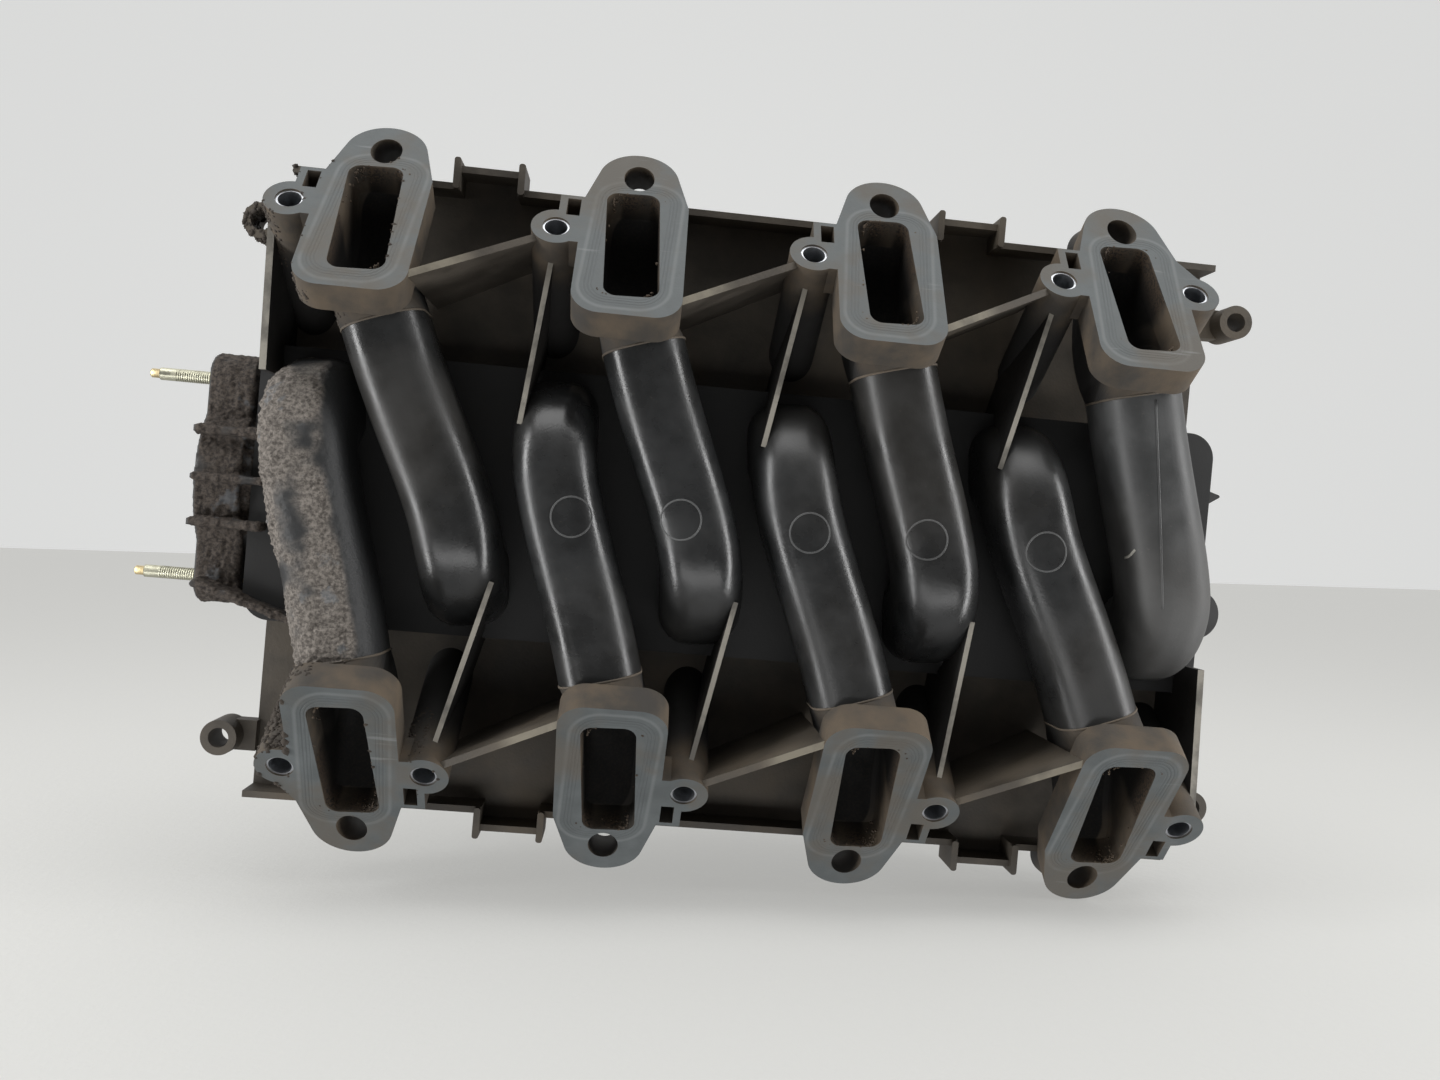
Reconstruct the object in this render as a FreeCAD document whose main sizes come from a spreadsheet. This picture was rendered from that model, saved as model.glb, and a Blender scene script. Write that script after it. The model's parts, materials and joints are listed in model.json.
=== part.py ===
"""Moulded V8 intake manifold, bare, with its sleeves, inserts, studs and throttle seal.

Frame: origin at the centre of the throttle bore on the flange face, +X out of the bore
(forward), +Y to the left bank, +Z up. The two banks are the same shape, turned half a
turn about the vertical axis through the middle of the valley, so every bank feature is
placed once in a bank frame (p forward, q outboard, z up) and turned for the right bank.
"""
import FreeCAD
import Part
import Sketcher
import math
import os

Vector = FreeCAD.Vector
Rotation = FreeCAD.Rotation
Placement = FreeCAD.Placement

# Driving dimensions, millimetres and degrees. Heights are above the bolt-hole line.
SIZES = [
    ("port_pitch", 111.76, "cylinder spacing"),
    ("bank_stagger", 4.79, "left ports forward and right ports back of the even grid"),
    ("flange_slope", 36.3, "angle of the port faces to the horizontal"),
    ("hole_line_q", 119.9, "bolt-hole line to the middle of the valley"),
    ("flange_thick", 14, "thickness of a port flange"),
    ("flange_width", 46, "width of a port flange"),
    ("flange_inner", 49.5, "inner end of a port flange, from the hole line"),
    ("flange_corner", 12, "radius of its inner corners"),
    ("shoulder", 20, "where its sides start to taper"),
    ("dome_centre", 36, "centre of its round outer end"),
    ("dome_radius", 18, "radius of its round outer end"),
    ("opening_width", 23.3, "port opening across the flange"),
    ("opening_length", 65, "port opening up the flange"),
    ("opening_centre", -6, "middle of the opening, from the hole line"),
    ("opening_corner", 5.5, "corner radius of the opening"),
    ("opening_lean", 3.1, "lean of the opening in the flange"),
    ("throat_swell", 3.5, "extra length of the passage half way up the throat"),
    ("throat_back", 17, "half way up the throat, outboard of its top"),
    ("throat_lift", 4.5, "half way up the throat, above the runner"),
    ("injector_place", 37.5, "injector bore up the flange"),
    ("injector_radius", 6.8, "injector bore"),
    ("injector_wall", 4.2, "wall round the injector bore"),
    ("bolt_radius", 5.8, "bolt hole in the moulding"),
    ("bolt_boss_radius", 10.7, "boss round the bolt hole"),
    ("sleeve_wall", 0.9, "wall of the steel sleeve"),
    ("sleeve_recess", 0.8, "sleeve end below the flange face"),
    ("tab_slot_width", 5.8, "gasket tab slot along the engine"),
    ("tab_slot_length", 10.8, "gasket tab slot up the flange"),
    ("tab_wall", 3.3, "wall round the tab slot"),
    ("tube_wall", 3, "wall of a runner"),
    ("tube_width", 36, "runner across"),
    ("tube_height", 42, "runner from bottom to top"),
    ("tube_corner", 14, "corner radius of the runner section"),
    ("tube_bottom", -14, "lowest line of the runners"),
    ("early_drift", 0.2, "share of a runner's drift that it takes up in the throat"),
    ("mouth_gather", 6.96, "runner mouths closer together than the ports"),
    ("mouth_set_back", 35.1, "mouths back of the middle of their bank"),
    ("mouth_stub", 2, "upright end of a runner above its elbow"),
    ("floor_thick", 3.5, "plenum floor"),
    ("plenum_corner", 12, "upright corners of the plenum"),
    ("shell_wall", 3.5, "plenum walls and roof"),
    ("seam_thick", 4, "each weld flange"),
    ("seam_width", 3.5, "weld flange beyond the wall"),
    ("roof_rise", 36, "roof between the arches above the seam"),
    ("roof_radius", 22, "rounding along the roof edges"),
    ("arch_width", 34, "one runner arch over the roof"),
    ("arch_rise", 6, "arch above the roof"),
    ("arch_proud", 4, "arch beyond the side walls"),
    ("arch_radius", 26, "bend of the arch over the shoulder"),
    ("arch_round", 11, "rounding of the arch section"),
    ("deck_thick", 3, "side decks"),
    ("web_thick", 3, "strip webs, lips and end walls"),
    ("end_wall_bottom", 6, "free edge of the end walls"),
    ("pocket_back", 44, "middle of a lip pocket behind its port"),
    ("pocket_width", 32, "lip pocket along the engine"),
    ("gusset_thick", 2.2, "blade gussets"),
    ("gusset_bite", 3.7, "gusset tip inside the side of an elbow"),
    ("rail_boss_radius", 8.5, "fuel rail post"),
    ("insert_radius", 4.5, "brass inserts outside"),
    ("insert_bore", 2.6, "brass inserts, thread core"),
    ("insert_length", 16, "fuel rail inserts"),
    ("cover_insert_length", 13, "cover inserts"),
    ("cover_boss_rise", 9, "cover bosses above the roof"),
    ("corner_boss_radius", 8, "corner clip bosses"),
    ("neck_length", 24, "throttle face ahead of the plenum"),
    ("throttle_radius", 39, "throttle bore"),
    ("throttle_thick", 20, "throttle flange"),
    ("lobe_radius", 11.5, "lobes of the throttle flange"),
    ("stud_radius", 3, "throttle studs"),
    ("stud_reach", 30, "studs out of the flange face"),
    ("stud_tip_radius", 2.1, "driving end of the stud"),
    ("stud_tip_length", 4, "driving end of the stud"),
    ("seal_width", 2.8, "seal groove across"),
    ("seal_depth", 2.6, "seal groove depth"),
    ("seal_proud", 0.8, "seal above the flange face"),
    ("rib_thick", 3.4, "ribs under the throttle flange"),
    ("rib_bottom", 24, "lower edge of those ribs"),
    ("brace_length", 48, "slanting brace under the throttle flange"),
    ("brace_height", 17, "slanting brace, from its lower edge"),
    ("brace_turn", 17, "slanting brace, turned from straight back"),
    ("rear_boss_radius", 12, "blind rear boss"),
    ("rear_boss_length", 30, "blind rear boss, upright"),
    ("rear_boss_side", 24, "rear boss right of the middle"),
    ("fin_height", 25, "rear fin above the plenum floor"),
    ("fin_reach", 19, "rear fin behind the plenum"),
    ("fin_inner", 22, "inner edge of the rear fin"),
    ("fin_outer", 41, "outer edge of the rear fin"),
    ("nipple_radius", 5, "vacuum nipple"),
    ("nipple_bore", 3, "vacuum nipple bore"),
    ("nipple_rise", 21, "vacuum nipple above the roof"),
    ("nipple_side", 20, "vacuum nipple right of the middle"),
]

PORTS = 4
ARCHES = 8
RIB_PLACES = (-20, 0, 21)
STUDS = 3
FULL_TURN = 360
HALF_TURN = 180
OVER = 1.0

doc = FreeCAD.newDocument("intake_manifold")
sheet = doc.addObject("Spreadsheet::Sheet", "Sizes")
rows_used = []


def size(alias):
    """The sheet's value of one dimension."""
    return float(sheet.get(alias))


def store(alias, value, note):
    """Put one dimension in the sheet as a plain number."""
    rows_used.append(alias)
    row = len(rows_used)
    sheet.set("A%d" % row, alias)
    sheet.set("B%d" % row, str(round(value, 4)))
    sheet.set("C%d" % row, note)
    sheet.setAlias("B%d" % row, alias)
    doc.recompute()


for alias, value, note in SIZES:
    store(alias, value, note)

SLOPE = math.radians(size("flange_slope"))


def port_place(number):
    """Port centre along the bank frame, number 1 being the foremost in that frame."""
    return (PORTS / 2 + 0.5 - number) * size("port_pitch") + size("bank_stagger")


def mouth_place(number):
    """Runner mouth along the bank frame. The mouths stand closer together than the ports."""
    pitch = size("port_pitch") - size("mouth_gather")
    return (PORTS / 2 + 0.5 - number) * pitch - size("mouth_set_back")


# Dimensions that follow from the driving ones by a clearance, so that the pieces stay joined.
store("bolt_offset", size("flange_width") / 2 + 10.1, "bolt hole to the port centre")
store("end_bolt_offset", size("flange_width") / 2 + 4.2, "second bolt hole of the end port")
store("tube_start", size("hole_line_q") - 47.9, "where the port throat meets the runner")
store("floor_bottom", size("tube_bottom") + size("tube_height") + 5, "underside of the plenum floor")
store("deck_bottom", size("floor_bottom") + 17, "underside of the side decks")
store("deck_top", size("deck_bottom") + size("deck_thick"), "top of the side decks")
store("bolt_boss_length", (size("deck_top") + 6.64) / math.cos(SLOPE), "face to the bolt-head seat")
store("injector_top", size("deck_bottom") + 12, "top of the injector boss")
store("rail_boss_top", size("deck_bottom") + 26, "top of the fuel rail posts")
store("lip_bottom", size("deck_bottom") - 15, "free edge of the deck lip")
store("lip_q", size("hole_line_q") + 23.1, "outside of the deck lip")
store("rail_post_q", size("lip_q") + 3, "fuel rail posts from the valley centre")
store("pocket_reach", size("lip_q") + 11, "outer edge of the lip pockets")
store("corner_boss_q", size("hole_line_q") - 2.9, "corner clip bosses from the valley centre")
store("boss_top_q", size("hole_line_q") - size("bolt_boss_length") * math.sin(SLOPE),
      "bolt-head end of the bolt bosses")
store("plenum_width", 2 * (size("boss_top_q") - size("bolt_boss_radius") * math.cos(SLOPE) - 5.47),
      "plenum outside, across")
store("mouth_q", size("plenum_width") / 2 - size("shell_wall") - size("tube_height") / 2 - 1.5,
      "runner mouth beyond the middle of the valley")
store("end_wall_p", port_place(1) + size("bolt_offset") + 8.47,
      "middle of the end walls from the valley centre")
store("corner_boss_p", size("end_wall_p") + 14, "corner clip bosses from the valley centre")
store("last_elbow", abs(mouth_place(PORTS)) + size("tube_width") / 2, "far side of the last elbow")
store("plenum_length", 2 * max(size("last_elbow") + 11.7, size("end_wall_p") + 8),
      "plenum outside, along the engine")
store("throttle_face", size("plenum_length") / 2 + size("neck_length"),
      "throttle face forward of the valley centre")
store("throttle_height", size("floor_bottom") + size("floor_thick") + size("throttle_radius") + 0.5,
      "throttle bore axis")
store("throttle_land", size("throttle_radius") + 8, "round land of the throttle flange")
store("seal_inner", size("throttle_radius") + 2.2, "seal groove inside")
store("stud_circle", size("throttle_radius") + 13.5, "studs from the bore axis")
store("seam_height", size("throttle_height") + size("throttle_radius") + 5,
      "weld seam between body and upper shell")
store("roof_height", size("seam_height") + size("roof_rise"), "top of the roof between the arches")
store("cover_boss_top", size("roof_height") + size("cover_boss_rise"), "top of the cover bosses")

# Middles of the lip pockets of a bank: behind the first port and behind the third.
POCKETS = tuple(port_place(number) - size("pocket_back") for number in (1, 3))


def bind(thing, **expressions):
    """Tie properties of an object to expressions in the sheet's aliases."""
    for name, expression in expressions.items():
        thing.setExpression(name, expression)
    return thing


# ---------------------------------------------------------------- frames and places

TUBE_AXIS = size("tube_bottom") + size("tube_height") / 2


def world(p, q, z):
    """A point given from the valley centre and the bolt-hole line, in the part's frame."""
    return Vector(p - size("throttle_face"), q, z - size("throttle_height"))


def bank_frame(side):
    """The frame of one bank: the left one as it stands, the right one turned about Z."""
    turn = 0 if side == "left" else HALF_TURN
    return Placement(world(0, 0, 0), Rotation(Vector(0, 0, 1), turn))


def name_of(stem, side, number):
    """Node name: the right bank's frame counts from the rear, the names from the front."""
    shown = number if side == "left" else PORTS + 1 - number
    return "%s_%s_%d" % (stem, side, shown)


def flange_frame(side, number):
    """Frame of a port face: x towards the rear of the bank, y up the face, z out of it."""
    lie = Rotation(HALF_TURN, 0, HALF_TURN - size("flange_slope"))
    return bank_frame(side).multiply(Placement(Vector(port_place(number), 0, 0), Rotation()).multiply(
        Placement(Vector(0, size("hole_line_q"), 0), lie)))


def throat_drift(number):
    """How far back of its port the passage has moved where the throat ends."""
    return size("early_drift") * (port_place(number) - mouth_place(number))


def plan_slope(number):
    """How far a runner turns back from square across the valley, in plan."""
    rest = port_place(number) - mouth_place(number) - throat_drift(number)
    return math.atan2(rest, size("tube_start") + size("mouth_q"))


def drift_at(number, q):
    """How far the runner centreline has moved back of its port at a place across the bank."""
    return throat_drift(number) + math.tan(plan_slope(number)) * (size("tube_start") - q)


def plan_frame(number, q, z):
    """Frame on the runner centreline: x along the run, y across it, z up."""
    turn = -90 - math.degrees(plan_slope(number))
    place = Vector(port_place(number) - drift_at(number, q), q, z)
    return Placement(place, Rotation(Vector(0, 0, 1), turn))


# ---------------------------------------------------------------- sketches and solids

def rounded_corners(corners):
    """Line and arc edges of a closed outline given as (x, y, corner radius)."""
    count = len(corners)
    starts = []
    arcs = []
    for index, (x, y, radius) in enumerate(corners):
        here = Vector(x, y, 0)
        before = Vector(corners[index - 1][0], corners[index - 1][1], 0) - here
        after = Vector(corners[(index + 1) % count][0], corners[(index + 1) % count][1], 0) - here
        before.normalize()
        after.normalize()
        if radius <= 0:
            starts.append((here, here))
            arcs.append(None)
            continue
        half = before.getAngle(after) / 2
        reach = radius / math.tan(half)
        middle = before + after
        middle.normalize()
        centre = here + middle * (radius / math.sin(half))
        first = here + before * reach
        last = here + after * reach
        starts.append((first, last))
        arcs.append(Part.Arc(first, centre - middle * radius, last))
    edges = []
    for index in range(count):
        if arcs[index]:
            edges.append(arcs[index])
        leave = starts[index][1]
        arrive = starts[(index + 1) % count][0]
        if (arrive - leave).Length > 1e-6:
            edges.append(Part.LineSegment(leave, arrive))
    return edges


def fill_sketch(sketch, corners):
    """Draw a rounded outline in a sketch and join its edges end to end."""
    edges = rounded_corners(corners)
    for edge in edges:
        sketch.addGeometry(edge, False)
    for index in range(len(edges)):
        following = (index + 1) % len(edges)
        sketch.addConstraint(Sketcher.Constraint("Coincident", index, 2, following, 1))
    return sketch


def origin_plane(body, role):
    """One of a body's own origin planes, found by its role."""
    for feature in body.Origin.OriginFeatures:
        if feature.Role == role:
            return feature
    return None


def body_sketch(body, name, role="XY_Plane", offset=None):
    """A sketch on one of the body's origin planes."""
    sketch = body.newObject("Sketcher::SketchObject", name)
    sketch.AttachmentSupport = (origin_plane(body, role), [""])
    sketch.MapMode = "FlatFace"
    if offset is not None:
        sketch.AttachmentOffset = Placement(offset, Rotation())
    return sketch


def pad(body, name, corners, length, reverse=False, role="XY_Plane", offset=None):
    """Pad a rounded outline by an expression."""
    sketch = fill_sketch(body_sketch(body, name + "_outline", role, offset), corners)
    feature = body.newObject("PartDesign::Pad", name)
    feature.Profile = sketch
    feature.Reversed = reverse
    bind(feature, Length=length)
    body.Tip = feature
    return feature


def box_corners(x1, x2, y1, y2, radius=0):
    """A rectangle as an outline."""
    return [(x1, y1, radius), (x2, y1, radius), (x2, y2, radius), (x1, y2, radius)]


def new_body(name, placement):
    """An empty body with its own placement."""
    body = doc.addObject("PartDesign::Body", name)
    body.Placement = placement
    return body


def cylinder(name, radius, height, placement):
    """A cylinder whose radius and height are expressions."""
    solid = doc.addObject("Part::Cylinder", name)
    bind(solid, Radius=radius, Height=height)
    solid.Placement = placement
    return solid


def box(name, length, width, height, placement):
    """A box whose three sides are expressions."""
    solid = doc.addObject("Part::Box", name)
    bind(solid, Length=length, Width=width, Height=height)
    solid.Placement = placement
    return solid


def extruded(name, corners, depth, placement):
    """An outline in the local XY plane, extruded along local Z by an expression."""
    sketch = fill_sketch(doc.addObject("Sketcher::SketchObject", name + "_outline"), corners)
    sketch.Placement = placement
    solid = doc.addObject("Part::Extrusion", name)
    solid.Base = sketch
    solid.DirMode = "Normal"
    solid.Solid = True
    bind(solid, LengthFwd=depth)
    return solid


def fuse(name, shapes):
    """Several shapes joined into one."""
    joined = doc.addObject("Part::MultiFuse", name)
    joined.Shapes = shapes
    joined.Refine = True
    return joined


def cut(name, base, tool):
    """One shape less another."""
    rest = doc.addObject("Part::Cut", name)
    rest.Base = base
    rest.Tool = tool
    rest.Refine = True
    return rest


def cut_in_turn(name, base, tools):
    """One shape less several, one after another; the last cut carries the name."""
    rest = base
    for index, tool in enumerate(tools[:-1]):
        rest = cut("%s_less_%d" % (name, index), rest, tool)
    return cut(name, rest, tools[-1])


def group(name, solids):
    """Separate identical solids kept in one node."""
    several = doc.addObject("Part::Compound", name)
    several.Links = solids
    return several


def section(name, placement, width, height, radius, lean=0):
    """A rounded rectangle sketch centred on its placement."""
    sketch = doc.addObject("Sketcher::SketchObject", name)
    fill_sketch(sketch, box_corners(-width / 2, width / 2, -height / 2, height / 2, radius))
    sketch.Placement = placement.multiply(Placement(Vector(), Rotation(Vector(0, 0, 1), lean)))
    return sketch


def loft(name, sections):
    """A smooth solid through several sections."""
    solid = doc.addObject("Part::Loft", name)
    solid.Sections = sections
    solid.Solid = True
    solid.Ruled = False
    return solid


# ---------------------------------------------------------------- port flanges

def flange_outline():
    """Straight sides, round inner corners and a tapered round outer end."""
    half = size("flange_width") / 2
    rise = size("shoulder") - size("dome_centre")
    reach = math.hypot(half, rise)
    tangent = math.atan2(rise, half) + math.acos(size("dome_radius") / reach)
    apex = size("dome_centre") + size("dome_radius") / math.sin(tangent)
    return [
        (-half, -size("flange_inner"), size("flange_corner")),
        (half, -size("flange_inner"), size("flange_corner")),
        (half, size("shoulder"), 0),
        (0, apex, size("dome_radius")),
        (-half, size("shoulder"), 0),
    ]


def plate_body(name, side, number):
    """The flat flange with its bolt ear, tab frame and, on the end port, the second ear."""
    body = new_body(name, flange_frame(side, number))
    half = size("flange_width") / 2
    ear = size("bolt_offset")
    neck = size("bolt_boss_radius")
    slot_wall = size("tab_wall")
    slot_low = neck - 2.5
    slot_top = slot_low + size("tab_slot_length")
    slot_out = ear - size("tab_wall")
    pad(body, "Plate", flange_outline(), "Sizes.flange_thick", reverse=True)
    neck_corners = box_corners(-ear, -half + OVER, -neck + 2, slot_low)
    pad(body, "Neck", neck_corners, "Sizes.flange_thick", reverse=True)
    frame_corners = box_corners(-slot_out - slot_wall, -half + OVER, slot_low - OVER, slot_top + slot_wall * 0.6)
    pad(body, "TabFrame", frame_corners, "Sizes.flange_thick", reverse=True)
    return body, (-slot_out, -slot_out + size("tab_slot_width"), slot_low, slot_top)


def throat_frames(side, number, start_depth):
    """Three frames that turn the passage from square to the port face to along the valley."""
    port = flange_frame(side, number)
    first = port.multiply(Placement(Vector(0, size("opening_centre"), -start_depth), Rotation()))
    last_plan = plan_frame(number, size("tube_start"), TUBE_AXIS)
    turn = HALF_TURN - math.degrees(plan_slope(number))
    last_rotation = Rotation(turn, 0, 90)
    last = bank_frame(side).multiply(Placement(last_plan.Base, last_rotation))
    middle_rotation = Rotation(turn / 2 + 90, 0, (HALF_TURN - size("flange_slope") + 90) / 2)
    middle_q = size("tube_start") + size("throat_back")
    middle_place = Vector(port_place(number) - throat_drift(number) / 3, middle_q,
                          TUBE_AXIS + size("throat_lift"))
    middle = bank_frame(side).multiply(Placement(middle_place, middle_rotation))
    return first, middle, last


def throat(name, side, number, spare):
    """The passage between the flange and the runner, grown by a wall all round."""
    first, middle, last = throat_frames(side, number, size("flange_thick"))
    wall = size("tube_wall")
    opening_w = size("opening_width")
    opening_l = size("opening_length")
    corner = size("opening_corner")
    less = 2 * (wall - spare)
    middle_w = (opening_w + size("tube_width")) / 2 - wall + 2 * spare
    middle_l = (opening_l + size("tube_height")) / 2 - wall + size("throat_swell") + 2 * spare
    middle_r = (corner + size("tube_corner") - wall) / 2 + spare
    sections = [
        section(name + "_a", first, opening_w + 2 * spare, opening_l + 2 * spare, corner + spare,
                size("opening_lean")),
        section(name + "_b", middle, middle_w, middle_l, middle_r, size("opening_lean") / 2),
        section(name + "_c", last, size("tube_width") - less, size("tube_height") - less,
                size("tube_corner") - wall + spare),
    ]
    return loft(name, sections)


def port_flange(side, number):
    """One port: flange, ears, bolt bosses, injector boss and the throat behind it."""
    name = name_of("port_flange", side, number)
    frame = flange_frame(side, number)
    body, slot = plate_body(name + "_plate", side, number)
    offsets = [-size("bolt_offset")]
    if number == PORTS:
        offsets.append(size("end_bolt_offset"))
    solids = [body]
    holes = []
    for index, offset in enumerate(offsets):
        foot = frame.multiply(Placement(Vector(offset, 0, -size("bolt_boss_length")), Rotation()))
        solids.append(cylinder("%s_boss_%d" % (name, index), "Sizes.bolt_boss_radius",
                               "Sizes.bolt_boss_length", foot))
        below = frame.multiply(Placement(Vector(offset, 0, -size("bolt_boss_length") - OVER), Rotation()))
        holes.append(cylinder("%s_bolt_%d" % (name, index), "Sizes.bolt_radius",
                              "Sizes.bolt_boss_length + 2 * %s" % OVER, below))
    if number == PORTS:
        half = size("flange_width") / 2
        ear = size("end_bolt_offset")
        reach = size("bolt_boss_radius")
        ear_corners = [(half - OVER, -reach, 0), (ear, -reach, 0), (ear + reach, 0, 4), (half - 4, 26, 0)]
        pad(body, "EndEar", ear_corners, "Sizes.flange_thick", reverse=True)
    injector_q = size("hole_line_q") + size("injector_place") * math.cos(SLOPE)
    injector_z = size("injector_place") * math.sin(SLOPE)
    rim = size("injector_radius") + size("injector_wall")
    start = injector_z + rim * math.tan(SLOPE)
    bank = bank_frame(side)
    injector = Placement(Vector(port_place(number), injector_q, start), Rotation())
    solids.append(cylinder(name + "_injector_boss", "Sizes.injector_radius + Sizes.injector_wall",
                           "Sizes.injector_top - %s" % start, bank.multiply(injector)))
    drill = Placement(Vector(port_place(number), injector_q, 0), Rotation())
    holes.append(cylinder(name + "_injector_bore", "Sizes.injector_radius",
                          "Sizes.injector_top + %s" % OVER, bank.multiply(drill)))
    solids.append(throat(name + "_throat", side, number, size("tube_wall")))
    outside = fuse(name + "_outside", solids)
    opening = section(name + "_opening", frame.multiply(
        Placement(Vector(0, size("opening_centre"), -size("flange_thick")), Rotation())),
        size("opening_width"), size("opening_length"), size("opening_corner"), size("opening_lean"))
    passage = doc.addObject("Part::Extrusion", name + "_passage")
    passage.Base = opening
    passage.DirMode = "Normal"
    passage.Solid = True
    bind(passage, LengthFwd="Sizes.flange_thick + %s" % OVER)
    holes.append(passage)
    holes.append(throat(name + "_throat_inside", side, number, 0))
    slot_place = frame.multiply(Placement(Vector(0, 0, -size("flange_thick") - OVER), Rotation()))
    holes.append(extruded(name + "_slot", box_corners(*slot), "Sizes.flange_thick + 2 * %s" % OVER,
                          slot_place))
    node = cut(name, outside, fuse(name + "_inside", holes))
    return node, solids


# ---------------------------------------------------------------- runners

def sweep_along(name, side, number, width, height, radius, top):
    """A rounded section swept along the valley, round the elbow and up to a height."""
    bank = bank_frame(side)
    start = bank.multiply(plan_frame(number, size("tube_start"), TUBE_AXIS))
    bend = size("floor_bottom") - TUBE_AXIS - size("mouth_stub")
    run = (size("tube_start") + size("mouth_q")) / math.cos(plan_slope(number)) - bend
    rise = top - TUBE_AXIS - bend
    path = doc.addObject("Sketcher::SketchObject", name + "_path")
    path.addGeometry(Part.LineSegment(Vector(0, 0, 0), Vector(run, 0, 0)), False)
    middle = Vector(run + bend * math.sin(math.pi / 4), bend - bend * math.cos(math.pi / 4), 0)
    path.addGeometry(Part.Arc(Vector(run, 0, 0), middle, Vector(run + bend, bend, 0)), False)
    path.addGeometry(Part.LineSegment(Vector(run + bend, bend, 0), Vector(run + bend, bend + rise, 0)), False)
    stand = Rotation(Vector(1, 0, 0), 90)
    path.Placement = start.multiply(Placement(Vector(), stand))
    across = Rotation(Vector(0, 1, 0), Vector(0, 0, 1), Vector(1, 0, 0), "ZXY")
    profile = section(name + "_section", start.multiply(Placement(Vector(), across)), width, height, radius)
    tube = doc.addObject("Part::Sweep", name)
    tube.Sections = [profile]
    tube.Spine = (path, ["Edge1", "Edge2", "Edge3"])
    tube.Solid = True
    tube.Frenet = False
    return tube


def runner(side, number):
    """One runner tube, open at the throat and at its mouth in the plenum floor."""
    name = name_of("runner", side, number)
    wall = size("tube_wall")
    outside = sweep_along(name + "_outside", side, number, size("tube_width"), size("tube_height"),
                          size("tube_corner"), size("floor_bottom"))
    inside = sweep_along(name + "_inside", side, number, size("tube_width") - 2 * wall,
                         size("tube_height") - 2 * wall, size("tube_corner") - wall,
                         size("floor_bottom") + size("floor_thick") + OVER)
    return cut(name, outside, inside), outside, inside


# ---------------------------------------------------------------- plenum

def plenum_outline(beyond=0):
    """The plenum in plan, grown or shrunk all round."""
    long = size("plenum_length") / 2 + beyond
    wide = size("plenum_width") / 2 + beyond
    return box_corners(-long, long, -wide, wide, size("plenum_corner") + beyond)


def arch_places():
    """Where the runner arches cross, evenly at half the port pitch."""
    step = size("port_pitch") / 2
    return [(index - (ARCHES - 1) / 2) * step for index in range(ARCHES)]


def plenum_floor(insides):
    """The floor with the eight runner mouths."""
    base = world(0, 0, size("floor_bottom"))
    slab = extruded("plenum_floor_slab", plenum_outline(), "Sizes.floor_thick", Placement(base, Rotation()))
    return cut("plenum_floor", slab, fuse("plenum_mouths", insides)), slab


def plenum_body():
    """Side and end walls, weld flange, side arches, rear boss and rear fin."""
    bottom = size("floor_bottom") + size("floor_thick")
    body = new_body("plenum_walls", Placement(world(0, 0, bottom), Rotation()))
    height = "Sizes.seam_height - Sizes.floor_bottom - Sizes.floor_thick"
    pad(body, "Walls", plenum_outline(), height)
    seam = Vector(0, 0, size("seam_height") - size("seam_thick") - bottom)
    pad(body, "Seam", plenum_outline(size("seam_width")), "Sizes.seam_thick", offset=seam)
    deck_top = size("deck_bottom") + size("deck_thick")
    half = size("arch_width") / 2
    wide = size("plenum_width") / 2 + size("arch_proud")
    solids = [body]
    for index, place in enumerate(arch_places()):
        corners = box_corners(place - half, place + half, -wide, wide, size("arch_proud") * 0.95)
        solids.append(extruded("side_arch_%d" % index, corners,
                               "Sizes.seam_height - Sizes.deck_bottom - Sizes.deck_thick",
                               Placement(world(0, 0, deck_top), Rotation())))
    back = -size("plenum_length") / 2
    boss_place = world(back - 1, -size("rear_boss_side"), size("floor_bottom") + 6)
    solids.append(cylinder("rear_boss", "Sizes.rear_boss_radius", "Sizes.rear_boss_length",
                           Placement(boss_place, Rotation())))
    fin = [(back + OVER, size("fin_inner"), 0), (back + OVER, size("fin_outer"), 0),
           (back - size("fin_reach"), size("fin_outer") - 6, 0.8)]
    fin_place = Placement(world(0, 0, size("floor_bottom") + size("fin_height")), Rotation())
    solids.append(extruded("rear_fin", fin, "Sizes.web_thick", fin_place))
    outside = fuse("plenum_body_outside", solids)
    hollow = extruded("plenum_hollow", plenum_outline(-size("shell_wall")), height + " + %s" % OVER,
                      Placement(world(0, 0, bottom), Rotation()))
    reach = size("neck_length") + 4 * size("shell_wall")
    bore = cylinder("throttle_opening", "Sizes.throttle_radius", str(reach),
                    Placement(Vector(-reach, 0, 0), Rotation(Vector(0, 1, 0), 90)))
    node = cut("plenum_body", outside, fuse("plenum_body_inside", [hollow, bore]))
    return node, outside


def roof_block(name, beyond, top, radius):
    """A block over the plenum with its long and end edges rounded."""
    body = new_body(name, Placement(world(0, 0, size("seam_height")), Rotation()))
    block = pad(body, "Block", plenum_outline(beyond), str(top - size("seam_height")))
    doc.recompute()
    rounding = body.newObject("PartDesign::Fillet", "Rounding")
    face = max(range(len(block.Shape.Faces)), key=lambda index: block.Shape.Faces[index].CenterOfMass.z)
    rounding.Base = (block, ["Face%d" % (face + 1)])
    rounding.Radius = radius
    body.Tip = rounding
    return body


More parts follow.
